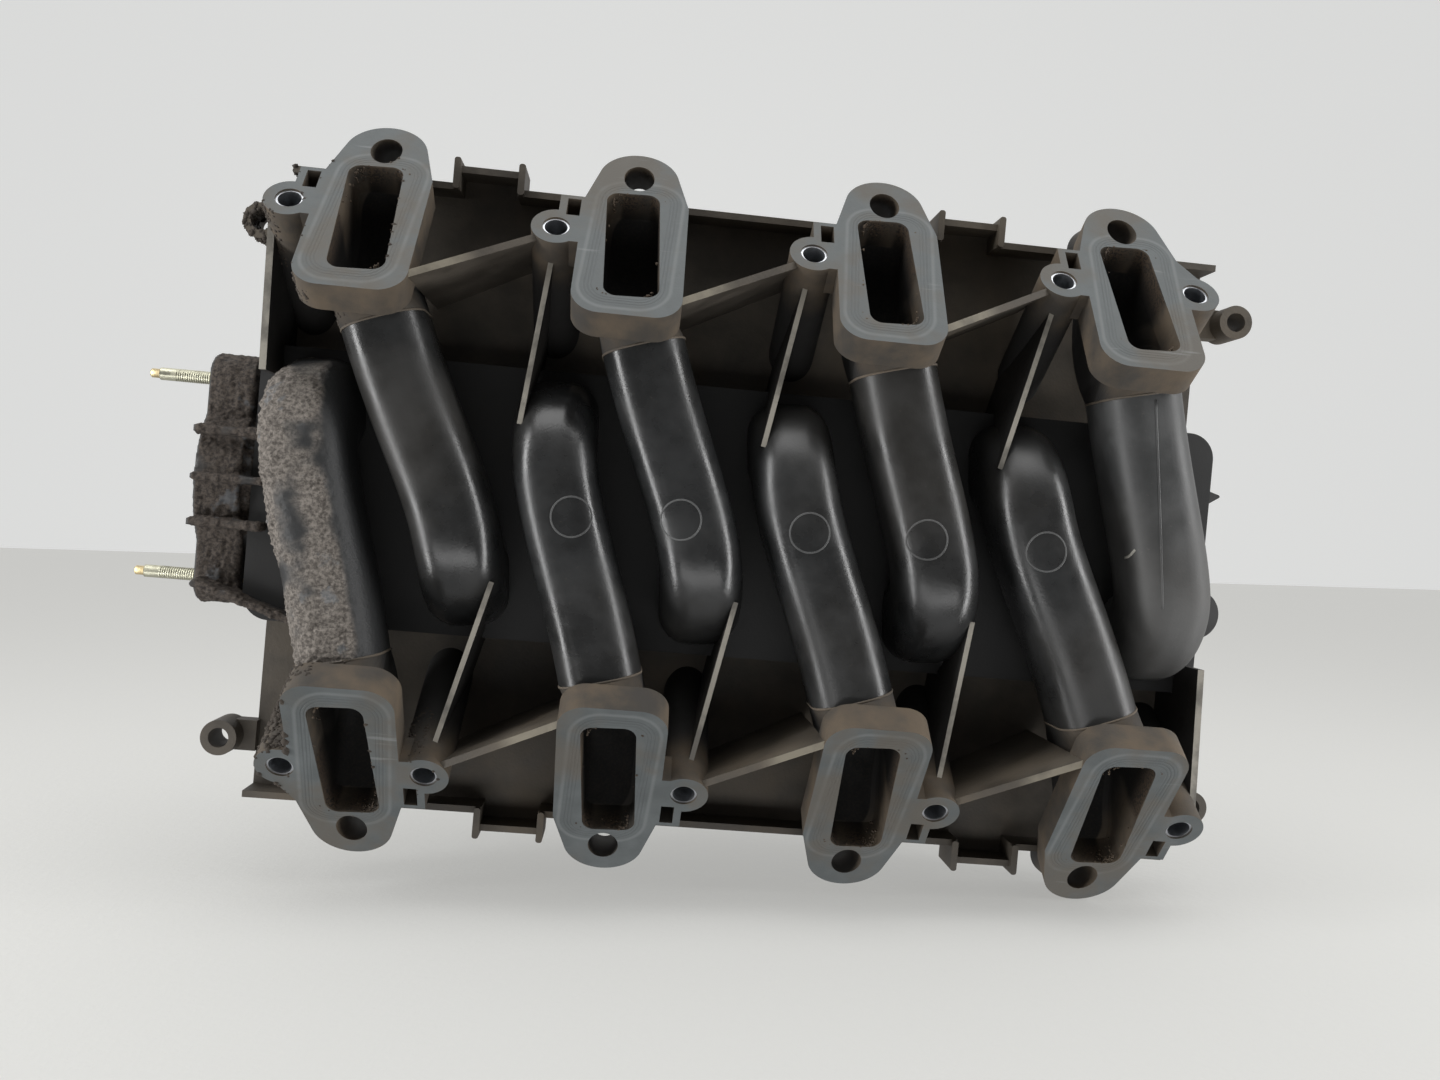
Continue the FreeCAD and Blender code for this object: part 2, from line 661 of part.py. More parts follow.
def arch(index, place):
    """One runner arch over the roof: a rounded bar bent over both shoulders."""
    frame = Placement(world(place, 0, size("seam_height")), Rotation())
    body = new_body("roof_arch_%d" % index, frame)
    wide = size("plenum_width") / 2 + size("arch_proud")
    rise = size("roof_height") + size("arch_rise") - size("seam_height")
    bend = size("arch_radius")
    corners = [(-wide, 0, 0), (wide, 0, 0), (wide, rise, bend), (-wide, rise, bend)]
    block = pad(body, "Bar", corners, "Sizes.arch_width", role="YZ_Plane")
    block.Midplane = True
    doc.recompute()
    rims = []
    for number, edge in enumerate(block.Shape.Edges, start=1):
        box_x = edge.BoundBox.XLength
        low = edge.BoundBox.ZMax < 1e-3
        if box_x < 1e-3 and not low:
            rims.append("Edge%d" % number)
    rounding = body.newObject("PartDesign::Fillet", "Rounding")
    rounding.Base = (block, rims)
    bind(rounding, Radius="Sizes.arch_round")
    body.Tip = rounding
    return body


def upper_shell():
    """The welded roof shell with its arches, cover bosses and vacuum nipple."""
    wall = size("shell_wall")
    top = size("roof_height")
    seam = size("seam_height")
    solids = [roof_block("roof_outside", 0, top, size("roof_radius"))]
    solids.append(extruded("roof_seam", plenum_outline(size("seam_width")), "Sizes.seam_thick",
                           Placement(world(0, 0, seam), Rotation())))
    for index, place in enumerate(arch_places()):
        solids.append(arch(index, place))
    step = size("port_pitch")
    holes = [roof_block("roof_inside", -wall, top - wall, size("roof_radius") - wall)]
    cover_places = (-step, step)
    for index, place in enumerate(cover_places):
        foot = Placement(world(place, 0, top - 2 * wall), Rotation())
        solids.append(cylinder("cover_boss_%d" % index, "Sizes.rail_boss_radius",
                               "Sizes.cover_boss_rise + 2 * Sizes.shell_wall", foot))
        drill = Placement(world(place, 0, size("cover_boss_top") - size("cover_insert_length")), Rotation())
        holes.append(cylinder("cover_drill_%d" % index, "Sizes.insert_radius",
                              "Sizes.cover_insert_length + %s" % OVER, drill))
    nipple = Placement(world(-1.5 * step, -size("nipple_side"), top - 2 * wall), Rotation())
    solids.append(cylinder("nipple_outside", "Sizes.nipple_radius",
                           "Sizes.nipple_rise + 2 * Sizes.shell_wall", nipple))
    holes.append(cylinder("nipple_inside", "Sizes.nipple_bore",
                          "Sizes.nipple_rise + 2 * Sizes.shell_wall + %s" % OVER, nipple))
    outside = fuse("upper_shell_outside", solids)
    return cut("upper_shell", outside, fuse("upper_shell_inside", holes))


# ---------------------------------------------------------------- decks, webs and walls

def upright(name, side, start, finish, heights, thick):
    """A thin upright wall between two plan points; heights are its four corner heights."""
    along = Vector(finish[0] - start[0], finish[1] - start[1], 0)
    turn = math.degrees(math.atan2(along.y, along.x))
    low_start, low_finish, high_finish, high_start = heights
    corners = [(0, low_start, 0), (along.Length, low_finish, 0),
               (along.Length, high_finish, 0), (0, high_start, 0)]
    stand = Placement(Vector(start[0], start[1], 0), Rotation(Vector(0, 0, 1), turn)).multiply(
        Placement(Vector(0, size(thick) / 2, 0), Rotation(Vector(1, 0, 0), 90)))
    return extruded(name, corners, "Sizes." + thick, bank_frame(side).multiply(stand))


def side_deck(side, tools):
    """Deck, lip, lip pockets with fuel rail posts, strip webs and corner bosses of a bank."""
    name = "side_deck_" + side
    bank = bank_frame(side)
    low = size("deck_bottom")
    thick = size("web_thick")
    reach = size("end_wall_p") + thick / 2
    inner = size("plenum_width") / 2 - 2
    solids = [extruded(name + "_plate", box_corners(-reach, reach, inner, size("lip_q")), "Sizes.deck_thick",
                       bank.multiply(Placement(Vector(0, 0, low), Rotation())))]
    holes = []
    lip = box_corners(-reach, reach, size("lip_q") - thick, size("lip_q"))
    solids.append(extruded(name + "_lip", lip, "Sizes.deck_bottom - Sizes.lip_bottom",
                           bank.multiply(Placement(Vector(0, 0, size("lip_bottom")), Rotation()))))
    for index, middle in enumerate(POCKETS):
        near = middle - size("pocket_width") / 2
        far = middle + size("pocket_width") / 2
        foot = Placement(Vector(0, 0, size("lip_bottom")), Rotation())
        outer = box_corners(near, far, size("lip_q") - thick, size("pocket_reach") - thick, 1.5)
        solids.append(extruded("%s_pocket_%d" % (name, index), outer,
                               "Sizes.deck_bottom + Sizes.deck_thick - Sizes.lip_bottom", bank.multiply(foot)))
        for edge_index, edge in enumerate((near, far - thick)):
            rib = box_corners(edge, edge + thick, size("lip_q") - thick, size("pocket_reach"), 1.2)
            solids.append(extruded("%s_rib_%d_%d" % (name, index, edge_index), rib,
                                   "Sizes.deck_bottom + Sizes.deck_thick - Sizes.lip_bottom + 3",
                                   bank.multiply(Placement(Vector(0, 0, size("lip_bottom") - 3), Rotation()))))
        cavity = box_corners(near + thick, far - thick, size("lip_q") - 4 * thick,
                             size("pocket_reach") - 2 * thick)
        below = Placement(Vector(0, 0, size("lip_bottom") - OVER), Rotation())
        holes.append(extruded("%s_cavity_%d" % (name, index), cavity,
                              "Sizes.deck_bottom - Sizes.lip_bottom + %s" % OVER, bank.multiply(below)))
        post = Vector(middle, size("rail_post_q"), low)
        solids.append(cylinder("%s_post_%d" % (name, index), "Sizes.rail_boss_radius",
                               "Sizes.rail_boss_top - Sizes.deck_bottom", bank.multiply(Placement(post, Rotation()))))
        drill = Vector(post.x, post.y, size("rail_boss_top") - size("insert_length"))
        holes.append(cylinder("%s_drill_%d" % (name, index), "Sizes.insert_radius",
                              "Sizes.insert_length + %s" % OVER, bank.multiply(Placement(drill, Rotation()))))
    for number in range(1, PORTS):
        start_s = -size("flange_inner") + size("flange_corner") - 1
        end_s = -size("bolt_boss_radius") * 0.6
        start = (port_place(number) - size("flange_width") / 2 + OVER,
                 size("hole_line_q") + start_s * math.cos(SLOPE))
        finish = (port_place(number + 1) + size("bolt_offset") + size("bolt_boss_radius") * 0.5,
                  size("hole_line_q") + end_s * math.cos(SLOPE))
        clear = size("web_thick") * math.tan(SLOPE) / 2 + 0.1
        heights = (start_s * math.sin(SLOPE) + clear, end_s * math.sin(SLOPE) + clear, low, low)
        solids.append(upright("%s_strip_%d" % (name, number), side, start, finish, heights, "web_thick"))
    for index, end in enumerate((-1, 1)):
        foot = Vector(end * size("corner_boss_p"), size("corner_boss_q"), size("lip_bottom"))
        solids.append(cylinder("%s_corner_%d" % (name, index), "Sizes.corner_boss_radius",
                               "Sizes.deck_bottom + Sizes.deck_thick - Sizes.lip_bottom",
                               bank.multiply(Placement(foot, Rotation()))))
        arm_near = min(end * (reach - OVER), end * size("corner_boss_p"))
        arm_far = max(end * (reach - OVER), end * size("corner_boss_p"))
        arm = box_corners(arm_near, arm_far, size("corner_boss_q") - 7, size("corner_boss_q") + 7)
        solids.append(extruded("%s_arm_%d" % (name, index), arm, "Sizes.deck_thick + 5",
                               bank.multiply(Placement(Vector(0, 0, low - 5), Rotation()))))
        drill = Vector(foot.x, foot.y, size("lip_bottom") - OVER)
        holes.append(cylinder("%s_clip_%d" % (name, index), "Sizes.insert_radius",
                              "Sizes.deck_bottom + Sizes.deck_thick - Sizes.lip_bottom + 2 * %s" % OVER,
                              bank.multiply(Placement(drill, Rotation()))))
    return cut_in_turn(name, fuse(name + "_outside", solids), holes + tools)


def boss_q(height):
    """Where the axis of the bolt bosses stands across the bank at a height."""
    return size("hole_line_q") - height * math.tan(SLOPE)


def end_wall(name, side, tools):
    """The thin wall closing the valley end beside the last runner elbow."""
    bank = bank_frame(side)
    wall_q = size("plenum_width") / 2
    low = size("end_wall_bottom")
    near = size("mouth_q") + 12
    corners = [(near, low + 4, 0), (boss_q(low), low, 0), (boss_q(size("deck_bottom")), size("deck_bottom"), 0),
               (wall_q, size("deck_bottom"), 0), (wall_q, size("floor_bottom"), 0), (near, size("floor_bottom"), 0)]
    stand = Placement(Vector(size("end_wall_p") - size("web_thick") / 2, 0, 0),
                      Rotation(Vector(0, 1, 0), Vector(0, 0, 1), Vector(1, 0, 0), "ZXY"))
    panel = extruded(name + "_outside", corners, "Sizes.web_thick", bank.multiply(stand))
    return cut_in_turn(name, panel, tools)


def gusset(side, number, tools):
    """A thin blade from a bolt boss in to the elbow of the opposite runner."""
    name = name_of("gusset", side, number)
    ear_p = port_place(number) + size("bolt_offset")
    ear_q = boss_q(4)
    tip_q = size("mouth_q") - 2
    wall_q = size("plenum_width") / 2
    start = (ear_p, ear_q)
    elbow_p = -mouth_place(PORTS + 1 - number)
    finish = (elbow_p + size("tube_width") / 2 - size("gusset_bite"), tip_q)
    length = math.hypot(finish[0] - ear_p, ear_q - tip_q)
    to_wall = length * (ear_q - wall_q) / (ear_q - tip_q)
    to_boss = length * (ear_q - boss_q(size("deck_bottom"))) / (ear_q - tip_q)
    corners = [(0, 4, 0), (length, -3, 0), (length, 6, 0), (to_wall, size("floor_bottom"), 0),
               (to_wall, size("deck_bottom"), 0), (to_boss, size("deck_bottom"), 0)]
    turn = math.degrees(math.atan2(finish[1] - start[1], finish[0] - start[0]))
    stand = Placement(Vector(start[0], start[1], 0), Rotation(Vector(0, 0, 1), turn)).multiply(
        Placement(Vector(0, size("gusset_thick") / 2, 0), Rotation(Vector(1, 0, 0), 90)))
    blade = extruded(name + "_blade", corners, "Sizes.gusset_thick", bank_frame(side).multiply(stand))
    return cut_in_turn(name, blade, tools)


# ---------------------------------------------------------------- throttle end

def stud_places():
    """Centres of the throttle studs in the YZ plane, one at the top."""
    places = []
    for index in range(STUDS):
        angle = math.radians(90 + index * FULL_TURN / STUDS)
        places.append(Vector(0, size("stud_circle") * math.cos(angle), size("stud_circle") * math.sin(angle)))
    return places


FORWARD = Rotation(Vector(0, 1, 0), 90)


def throttle_neck(tools):
    """Flange with three lobes, round land, neck, seal groove and ribs underneath."""
    body = new_body("throttle_neck_body", Placement())
    reach = size("stud_circle") + 2 * size("lobe_radius")
    triangle = []
    for index in range(STUDS):
        angle = math.radians(90 + index * FULL_TURN / STUDS)
        triangle.append((reach * math.cos(angle), reach * math.sin(angle), size("lobe_radius")))
    pad(body, "Lobes", triangle, "Sizes.throttle_thick", reverse=True, role="YZ_Plane")
    front = size("throttle_face") - size("plenum_length") / 2
    land = cylinder("throttle_land_disc", "Sizes.throttle_land", "Sizes.throttle_thick",
                    Placement(Vector(-size("throttle_thick"), 0, 0), FORWARD))
    tube = cylinder("throttle_tube", "Sizes.throttle_radius + Sizes.shell_wall + 1",
                    "Sizes.throttle_face - Sizes.plenum_length / 2", Placement(Vector(-front, 0, 0), FORWARD))
    solids = [body, land, tube]
    rib_low = size("rib_bottom") - size("throttle_height")
    for index, place in enumerate(RIB_PLACES):
        near = Vector(-front - 8, place - size("rib_thick") / 2, rib_low)
        solids.append(box("throttle_rib_%d" % index, "Sizes.throttle_face - Sizes.plenum_length / 2 + 8",
                          "Sizes.rib_thick", "Sizes.throttle_height - Sizes.rib_bottom - Sizes.throttle_radius - 2",
                          Placement(near, Rotation())))
    brace = Placement(Vector(-5, -45, rib_low - 2), Rotation(Vector(0, 0, 1), HALF_TURN + size("brace_turn")))
    solids.append(box("throttle_brace", "Sizes.brace_length", "Sizes.rib_thick", "Sizes.brace_height", brace))
    holes = [cylinder("throttle_bore", "Sizes.throttle_radius", str(front + 2 * OVER),
                      Placement(Vector(-front - OVER, 0, 0), FORWARD))]
    groove_outer = cylinder("groove_outer", "Sizes.seal_inner + Sizes.seal_width", "Sizes.seal_depth + %s" % OVER,
                            Placement(Vector(-size("seal_depth"), 0, 0), FORWARD))
    groove_core = cylinder("groove_core", "Sizes.seal_inner", "Sizes.seal_depth + %s" % OVER,
                           Placement(Vector(-size("seal_depth"), 0, 0), FORWARD))
    holes.append(cut("seal_groove", groove_outer, groove_core))
    for index, place in enumerate(stud_places()):
        back = place + Vector(-size("throttle_thick") - OVER, 0, 0)
        holes.append(cylinder("insert_drill_%d" % index, "Sizes.insert_radius",
                              "Sizes.throttle_thick + 2 * %s" % OVER, Placement(back, FORWARD)))
    return cut_in_turn("throttle_neck", fuse("throttle_neck_outside", solids), holes + tools)


def throttle_seal():
    """The seal in its groove, standing a little proud of the face."""
    place = Placement(Vector(-size("seal_depth"), 0, 0), FORWARD)
    outer = cylinder("seal_outer", "Sizes.seal_inner + Sizes.seal_width", "Sizes.seal_depth + Sizes.seal_proud", place)
    core = cylinder("seal_core", "Sizes.seal_inner", "Sizes.seal_depth + Sizes.seal_proud", place)
    return cut("throttle_seal", outer, core)


def throttle_studs():
    """Three studs screwed into the flange inserts, each with a reduced driving end."""
    solids = []
    for index, place in enumerate(stud_places()):
        back = place + Vector(-size("throttle_thick") + 2, 0, 0)
        root = cylinder("stud_root_%d" % index, "Sizes.insert_bore", "Sizes.throttle_thick - 2",
                        Placement(back, FORWARD))
        shank = cylinder("stud_shank_%d" % index, "Sizes.stud_radius",
                         "Sizes.stud_reach - Sizes.stud_tip_length", Placement(place, FORWARD))
        tip = place + Vector(size("stud_reach") - size("stud_tip_length"), 0, 0)
        end = cylinder("stud_tip_%d" % index, "Sizes.stud_tip_radius", "Sizes.stud_tip_length",
                       Placement(tip, FORWARD))
        solids.append(fuse("throttle_stud_%d" % index, [root, shank, end]))
    return group("throttle_studs", solids)


def tube_group(name, places, outer, bore, length):
    """Equal plain tubes along local Z at several placements, in one node."""
    solids = []
    for index, place in enumerate(places):
        shell = cylinder("%s_shell_%d" % (name, index), outer, length, place)
        core = cylinder("%s_core_%d" % (name, index), bore, length, place)
        solids.append(cut("%s_%d" % (name, index), shell, core))
    return group(name, solids)


def sleeve_places():
    """Feet of the ten bolt sleeves, at the bolt-head end."""
    places = []
    for side in ("left", "right"):
        for number in range(1, PORTS + 1):
            offsets = [-size("bolt_offset")]
            if number == PORTS:
                offsets.append(size("end_bolt_offset"))
            for offset in offsets:
                foot = Placement(Vector(offset, 0, -size("bolt_boss_length")), Rotation())
                places.append(flange_frame(side, number).multiply(foot))
    return places


def rail_insert_places():
    """Feet of the four fuel rail inserts."""
    places = []
    for side in ("left", "right"):
        for middle in POCKETS:
            foot = Vector(middle, size("rail_post_q"), size("rail_boss_top") - size("insert_length"))
            places.append(bank_frame(side).multiply(Placement(foot, Rotation())))
    return places


def cover_insert_places():
    """Feet of the two cover inserts in the roof."""
    foot = size("cover_boss_top") - size("cover_insert_length")
    return [Placement(world(place, 0, foot), Rotation()) for place in (-size("port_pitch"), size("port_pitch"))]


# ---------------------------------------------------------------- the assembly

nodes = []
port_solids = {"left": [], "right": []}
runner_outsides = {"left": [], "right": []}
runner_insides = []
for side in ("left", "right"):
    for number in range(1, PORTS + 1):
        node, solids = port_flange(side, number)
        nodes.append(node)
        port_solids[side].append(solids)
        node, outside, inside = runner(side, number)
        nodes.append(node)
        runner_outsides[side].append(outside)
        runner_insides.append(inside)

floor, floor_slab = plenum_floor(runner_insides)
walls, walls_outside = plenum_body()
nodes += [floor, walls, upper_shell()]
opposite = {"left": "right", "right": "left"}
for side, end in (("left", "front_end_wall"), ("right", "rear_end_wall")):
    in_the_deck = [solid for solids in port_solids[side] for solid in solids[:-1]]
    nodes.append(side_deck(side, in_the_deck + [walls_outside]))
    last_elbow = runner_outsides[opposite[side]][PORTS - 1]
    nodes.append(end_wall(end, side, port_solids[side][0] + [last_elbow]))
    for number in range(2, PORTS + 1):
        elbow = runner_outsides[opposite[side]][PORTS - number]
        tools = port_solids[side][number - 1] + [elbow, walls_outside, floor_slab]
        nodes.append(gusset(side, number, tools))

nodes.append(throttle_neck([floor_slab, walls_outside, runner_outsides["right"][PORTS - 1]]))
nodes.append(throttle_seal())
nodes.append(throttle_studs())
backward = [Placement(place + Vector(-size("throttle_thick"), 0, 0), FORWARD) for place in stud_places()]
nodes.append(tube_group("throttle_inserts", backward, "Sizes.insert_radius", "Sizes.insert_bore",
                        "Sizes.throttle_thick"))
nodes.append(tube_group("bolt_sleeves", sleeve_places(), "Sizes.bolt_radius",
                        "Sizes.bolt_radius - Sizes.sleeve_wall", "Sizes.bolt_boss_length - Sizes.sleeve_recess"))
nodes.append(tube_group("rail_inserts", rail_insert_places(), "Sizes.insert_radius", "Sizes.insert_bore",
                        "Sizes.insert_length"))
nodes.append(tube_group("cover_inserts", cover_insert_places(), "Sizes.insert_radius", "Sizes.insert_bore",
                        "Sizes.cover_insert_length"))
doc.recompute()


# ---------------------------------------------------------------- hand-in

def check_and_write():
    """Stop on any failed object, then write each sub-part."""
    doc.recompute()
    for thing in doc.Objects:
        if "Invalid" in thing.State or "Error" in thing.State:
            raise RuntimeError("failed object: " + thing.Name)
    os.makedirs("parts", exist_ok=True)
    for node in nodes:
        shape = node.Shape
        if shape.isNull() or not shape.isValid():
            raise RuntimeError("bad shape: " + node.Label)
        shape.exportStep("parts/%s.step" % node.Label)
        print(node.Label, len(shape.Solids), round(shape.Volume), shape.BoundBox)


check_and_write()
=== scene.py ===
"""Looks of a moulded intake manifold, seen from below: port faces, crossing runners, throttle flange."""
import json
import math
import random

import bmesh
import bpy
import numpy as np
from mathutils import Matrix, Vector, noise
from mathutils.bvhtree import BVHTree

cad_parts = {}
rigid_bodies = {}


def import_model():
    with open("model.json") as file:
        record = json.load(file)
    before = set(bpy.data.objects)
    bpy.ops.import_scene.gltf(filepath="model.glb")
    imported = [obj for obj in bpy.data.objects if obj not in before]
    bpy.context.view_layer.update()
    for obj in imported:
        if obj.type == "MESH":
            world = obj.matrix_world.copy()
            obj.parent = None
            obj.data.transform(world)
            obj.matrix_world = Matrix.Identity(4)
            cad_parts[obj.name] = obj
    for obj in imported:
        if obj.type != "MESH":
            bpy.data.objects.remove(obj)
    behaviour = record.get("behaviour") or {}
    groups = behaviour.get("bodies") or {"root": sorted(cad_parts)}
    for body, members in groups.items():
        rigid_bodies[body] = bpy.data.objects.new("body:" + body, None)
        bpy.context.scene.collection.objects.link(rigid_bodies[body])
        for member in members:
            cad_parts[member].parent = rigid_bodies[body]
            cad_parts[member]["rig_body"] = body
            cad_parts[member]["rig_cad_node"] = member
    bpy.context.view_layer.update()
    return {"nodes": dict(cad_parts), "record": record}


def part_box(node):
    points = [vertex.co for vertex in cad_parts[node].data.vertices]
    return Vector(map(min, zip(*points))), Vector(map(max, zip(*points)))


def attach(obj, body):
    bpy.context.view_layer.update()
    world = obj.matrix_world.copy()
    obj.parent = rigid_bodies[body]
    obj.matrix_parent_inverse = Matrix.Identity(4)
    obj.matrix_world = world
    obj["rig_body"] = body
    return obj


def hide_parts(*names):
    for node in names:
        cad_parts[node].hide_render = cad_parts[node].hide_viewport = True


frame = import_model()

MM = 0.001
MOUNTS = {mount["name"]: mount for mount in frame["record"]["mounts"]}
PORTS = 4
SIDES = {"left": 1, "right": -1}
SLOPE = math.radians(36.3)

# Places shared with the CAD model, metres, in the row frame.
LIP_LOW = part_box("side_deck_left")[0].z
FLOOR_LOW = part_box("plenum_floor")[0].z
VALLEY_X = (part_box("plenum_floor")[0].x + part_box("plenum_floor")[1].x) / 2
LINE_Z = FLOOR_LOW - 33 * MM
PORT_PITCH = 111.76 * MM
STAGGER = 4.79 * MM
HOLE_LINE_Q = 119.9 * MM
OPENING = (23.3 * MM, 65 * MM, -6 * MM, 5.5 * MM, math.radians(3.1))
MOUTH_PITCH = 104.8 * MM
MOUTH_SET_BACK = 35.1 * MM
TUBE_START = 72 * MM
TUBE_AXIS = 7 * MM
TUBE = (36 * MM, 42 * MM, 14 * MM)
TUBE_WALL = 3 * MM
MOUTH_Q = 36 * MM
BEND = 24 * MM
EARLY_DRIFT = 0.2
BOW = 0.1
STUD = {"radius": 3 * MM, "tip": 2.1 * MM, "reach": 30 * MM, "tip_length": 4.5 * MM, "pitch": 1 * MM}
GASKET_RING_RATE = 4200.0
STUD_CIRCLE = MOUNTS["throttle_studs"]["dims"]["pcd_mm"] / 2 * MM


def port_place(number):
    """Port centre along the bank frame, from the middle of the valley."""
    return (PORTS / 2 + 0.5 - number) * PORT_PITCH + STAGGER


def mouth_place(number):
    """Runner mouth along the bank frame."""
    return (PORTS / 2 + 0.5 - number) * MOUTH_PITCH - MOUTH_SET_BACK


def to_row(side, p, q, z):
    """A point of a bank frame in the row frame."""
    turn = SIDES[side]
    return Vector((VALLEY_X + turn * p, turn * q, LINE_Z + z))


def shown_number(side, number):
    """The bank frame of the right side counts from the rear, the names from the front."""
    return number if side == "left" else PORTS + 1 - number


# ---------------------------------------------------------------- shader helpers

def feed(tree, value, socket):
    """Link a socket or set a constant."""
    if isinstance(value, bpy.types.NodeSocket):
        tree.links.new(value, socket)
    else:
        socket.default_value = value


def add(tree, kind, inputs=(), **props):
    """A shader node with its properties and inputs."""
    made = tree.nodes.new(kind)
    for name, value in props.items():
        setattr(made, name, value)
    for key, value in dict(inputs).items():
        feed(tree, value, made.inputs[key])
    return made


def maths(tree, operation, first, second=0.0, clamp=False):
    """One math node's output."""
    made = add(tree, "ShaderNodeMath", {0: first, 1: second}, operation=operation)
    made.use_clamp = clamp
    return made.outputs[0]


def blend_colours(tree, factor, first, second, mode="MIX"):
    """Two colours mixed by a factor."""
    made = tree.nodes.new("ShaderNodeMix")
    made.data_type = "RGBA"
    made.blend_type = mode
    feed(tree, factor, made.inputs[0])
    feed(tree, first, made.inputs[6])
    feed(tree, second, made.inputs[7])
    return made.outputs[2]


def ramp(tree, value, low, high, start=0.0, end=1.0):
    """A value mapped from one range to another and held at the ends."""
    made = add(tree, "ShaderNodeMapRange", {0: value, 1: low, 2: high, 3: start, 4: end})
    made.interpolation_type = "SMOOTHSTEP"
    return made.outputs[0]


def cloud(tree, place, scale, detail=3.0, rough=0.55, stretch=None):
    """Fractal noise over a place."""
    if stretch is not None:
        place = add(tree, "ShaderNodeMapping", {0: place, 3: stretch}).outputs[0]
    inputs = {"Vector": place, "Scale": scale, "Detail": detail, "Roughness": rough}
    made = add(tree, "ShaderNodeTexNoise", inputs)
    return made.outputs[0]


def along(tree, place, direction, start=0.0):
    """How far a place lies along a direction, from a start."""
    made = add(tree, "ShaderNodeVectorMath", {0: place, 1: direction}, operation="DOT_PRODUCT")
    return maths(tree, "SUBTRACT", made.outputs["Value"], start)


def rgb(red, green, blue):
    """A linear colour."""
    return (red, green, blue, 1.0)


class Finish:
    """A material with a Principled shader, its object coordinates and its normal."""

    def __init__(self, name, metallic=0.0, specular=0.5):
        self.material = bpy.data.materials.new(name)
        self.material.use_nodes = True
        self.tree = self.material.node_tree
        self.shader = self.tree.nodes["Principled BSDF"]
        self.place = add(self.tree, "ShaderNodeTexCoord").outputs["Object"]
        self.normal = add(self.tree, "ShaderNodeNewGeometry").outputs["Normal"]
        self.shader.inputs["Metallic"].default_value = metallic
        self.shader.inputs["Specular IOR Level"].default_value = specular

    def set(self, colour, roughness, height=None, depth=0.0002, strength=0.5):
        """Feed the shader: colour, roughness and an optional bump."""
        feed(self.tree, colour, self.shader.inputs["Base Color"])
        feed(self.tree, roughness, self.shader.inputs["Roughness"])
        if height is not None:
            inputs = {"Height": height, "Strength": strength, "Distance": depth}
            bump = add(self.tree, "ShaderNodeBump", inputs)
            self.tree.links.new(bump.outputs[0], self.shader.inputs["Normal"])
        return self.material


def nylon(name, base, dust, dust_share=0.35, rough=0.42, grain=900.0, streak=None, specular=0.5):
    """Glass-filled nylon: mottled, dusty in patches, with a fine moulded grain."""
    made = Finish(name, specular=specular)
    tree = made.tree
    patches = cloud(tree, made.place, 38.0, 5.0, 0.6)
    broad = cloud(tree, made.place, 9.0, 4.0, 0.55, streak)
    fine = cloud(tree, made.place, grain, 2.0)
    specks = cloud(tree, made.place, 420.0, 2.0, 0.7)
    darker = rgb(*(part * 0.72 for part in base))
    lighter = rgb(*(part * 1.35 for part in base))
    colour = blend_colours(tree, ramp(tree, patches, 0.3, 0.7), darker, lighter)
    dusty = maths(tree, "MULTIPLY", ramp(tree, broad, 0.42, 0.68), dust_share)
    dusty = maths(tree, "ADD", dusty, ramp(tree, specks, 0.66, 0.74, 0.0, dust_share * 0.9), True)
    colour = blend_colours(tree, dusty, colour, rgb(*dust))
    roughness = ramp(tree, maths(tree, "ADD", patches, broad), 0.7, 1.3, rough - 0.07, rough + 0.12)
    height = maths(tree, "ADD", fine, maths(tree, "MULTIPLY", patches, 1.6))
    return made.set(colour, roughness, height, 0.00012, 0.45)


def edged(name, base, wear_and_highlight_colour, edge_top, dust, rough=0.6):
    """Dusty thin walls whose free lower edges, where they face down, are pale: scraped wear on the deck,
    painted highlight on the end walls and gussets.
    """
    made = Finish(name, specular=0.4)
    tree = made.tree
    patches = cloud(tree, made.place, 45.0, 5.0, 0.6)
    fine = cloud(tree, made.place, 700.0, 2.0)
    # Pale lower edges facing down: partly scraped wear, partly a painted highlight where light grazes them.
    down = ramp(tree, along(tree, made.normal, (0, 0, -1)), 0.55, 0.9)
    low = ramp(tree, along(tree, made.place, (0, 0, 1), edge_top), 0.0, 0.004, 1.0, 0.0)
    scraped = ramp(tree, patches, 0.35, 0.6, 0.35, 0.95)
    wear_and_highlight = maths(tree, "MULTIPLY", maths(tree, "MULTIPLY", down, low), scraped)
    colour = blend_colours(tree, ramp(tree, patches, 0.3, 0.7), rgb(*(part * 0.7 for part in base)),
                           rgb(*(part * 1.3 for part in base)))
    grime = ramp(tree, cloud(tree, made.place, 16.0, 4.0), 0.45, 0.7, 0.0, 0.6)
    colour = blend_colours(tree, grime, colour, rgb(*dust))
    colour = blend_colours(tree, wear_and_highlight, colour, rgb(*wear_and_highlight_colour))
    height = maths(tree, "ADD", fine, patches)
    return made.set(colour, ramp(tree, patches, 0.3, 0.7, rough - 0.08, rough + 0.15), height, 0.0002, 0.6)


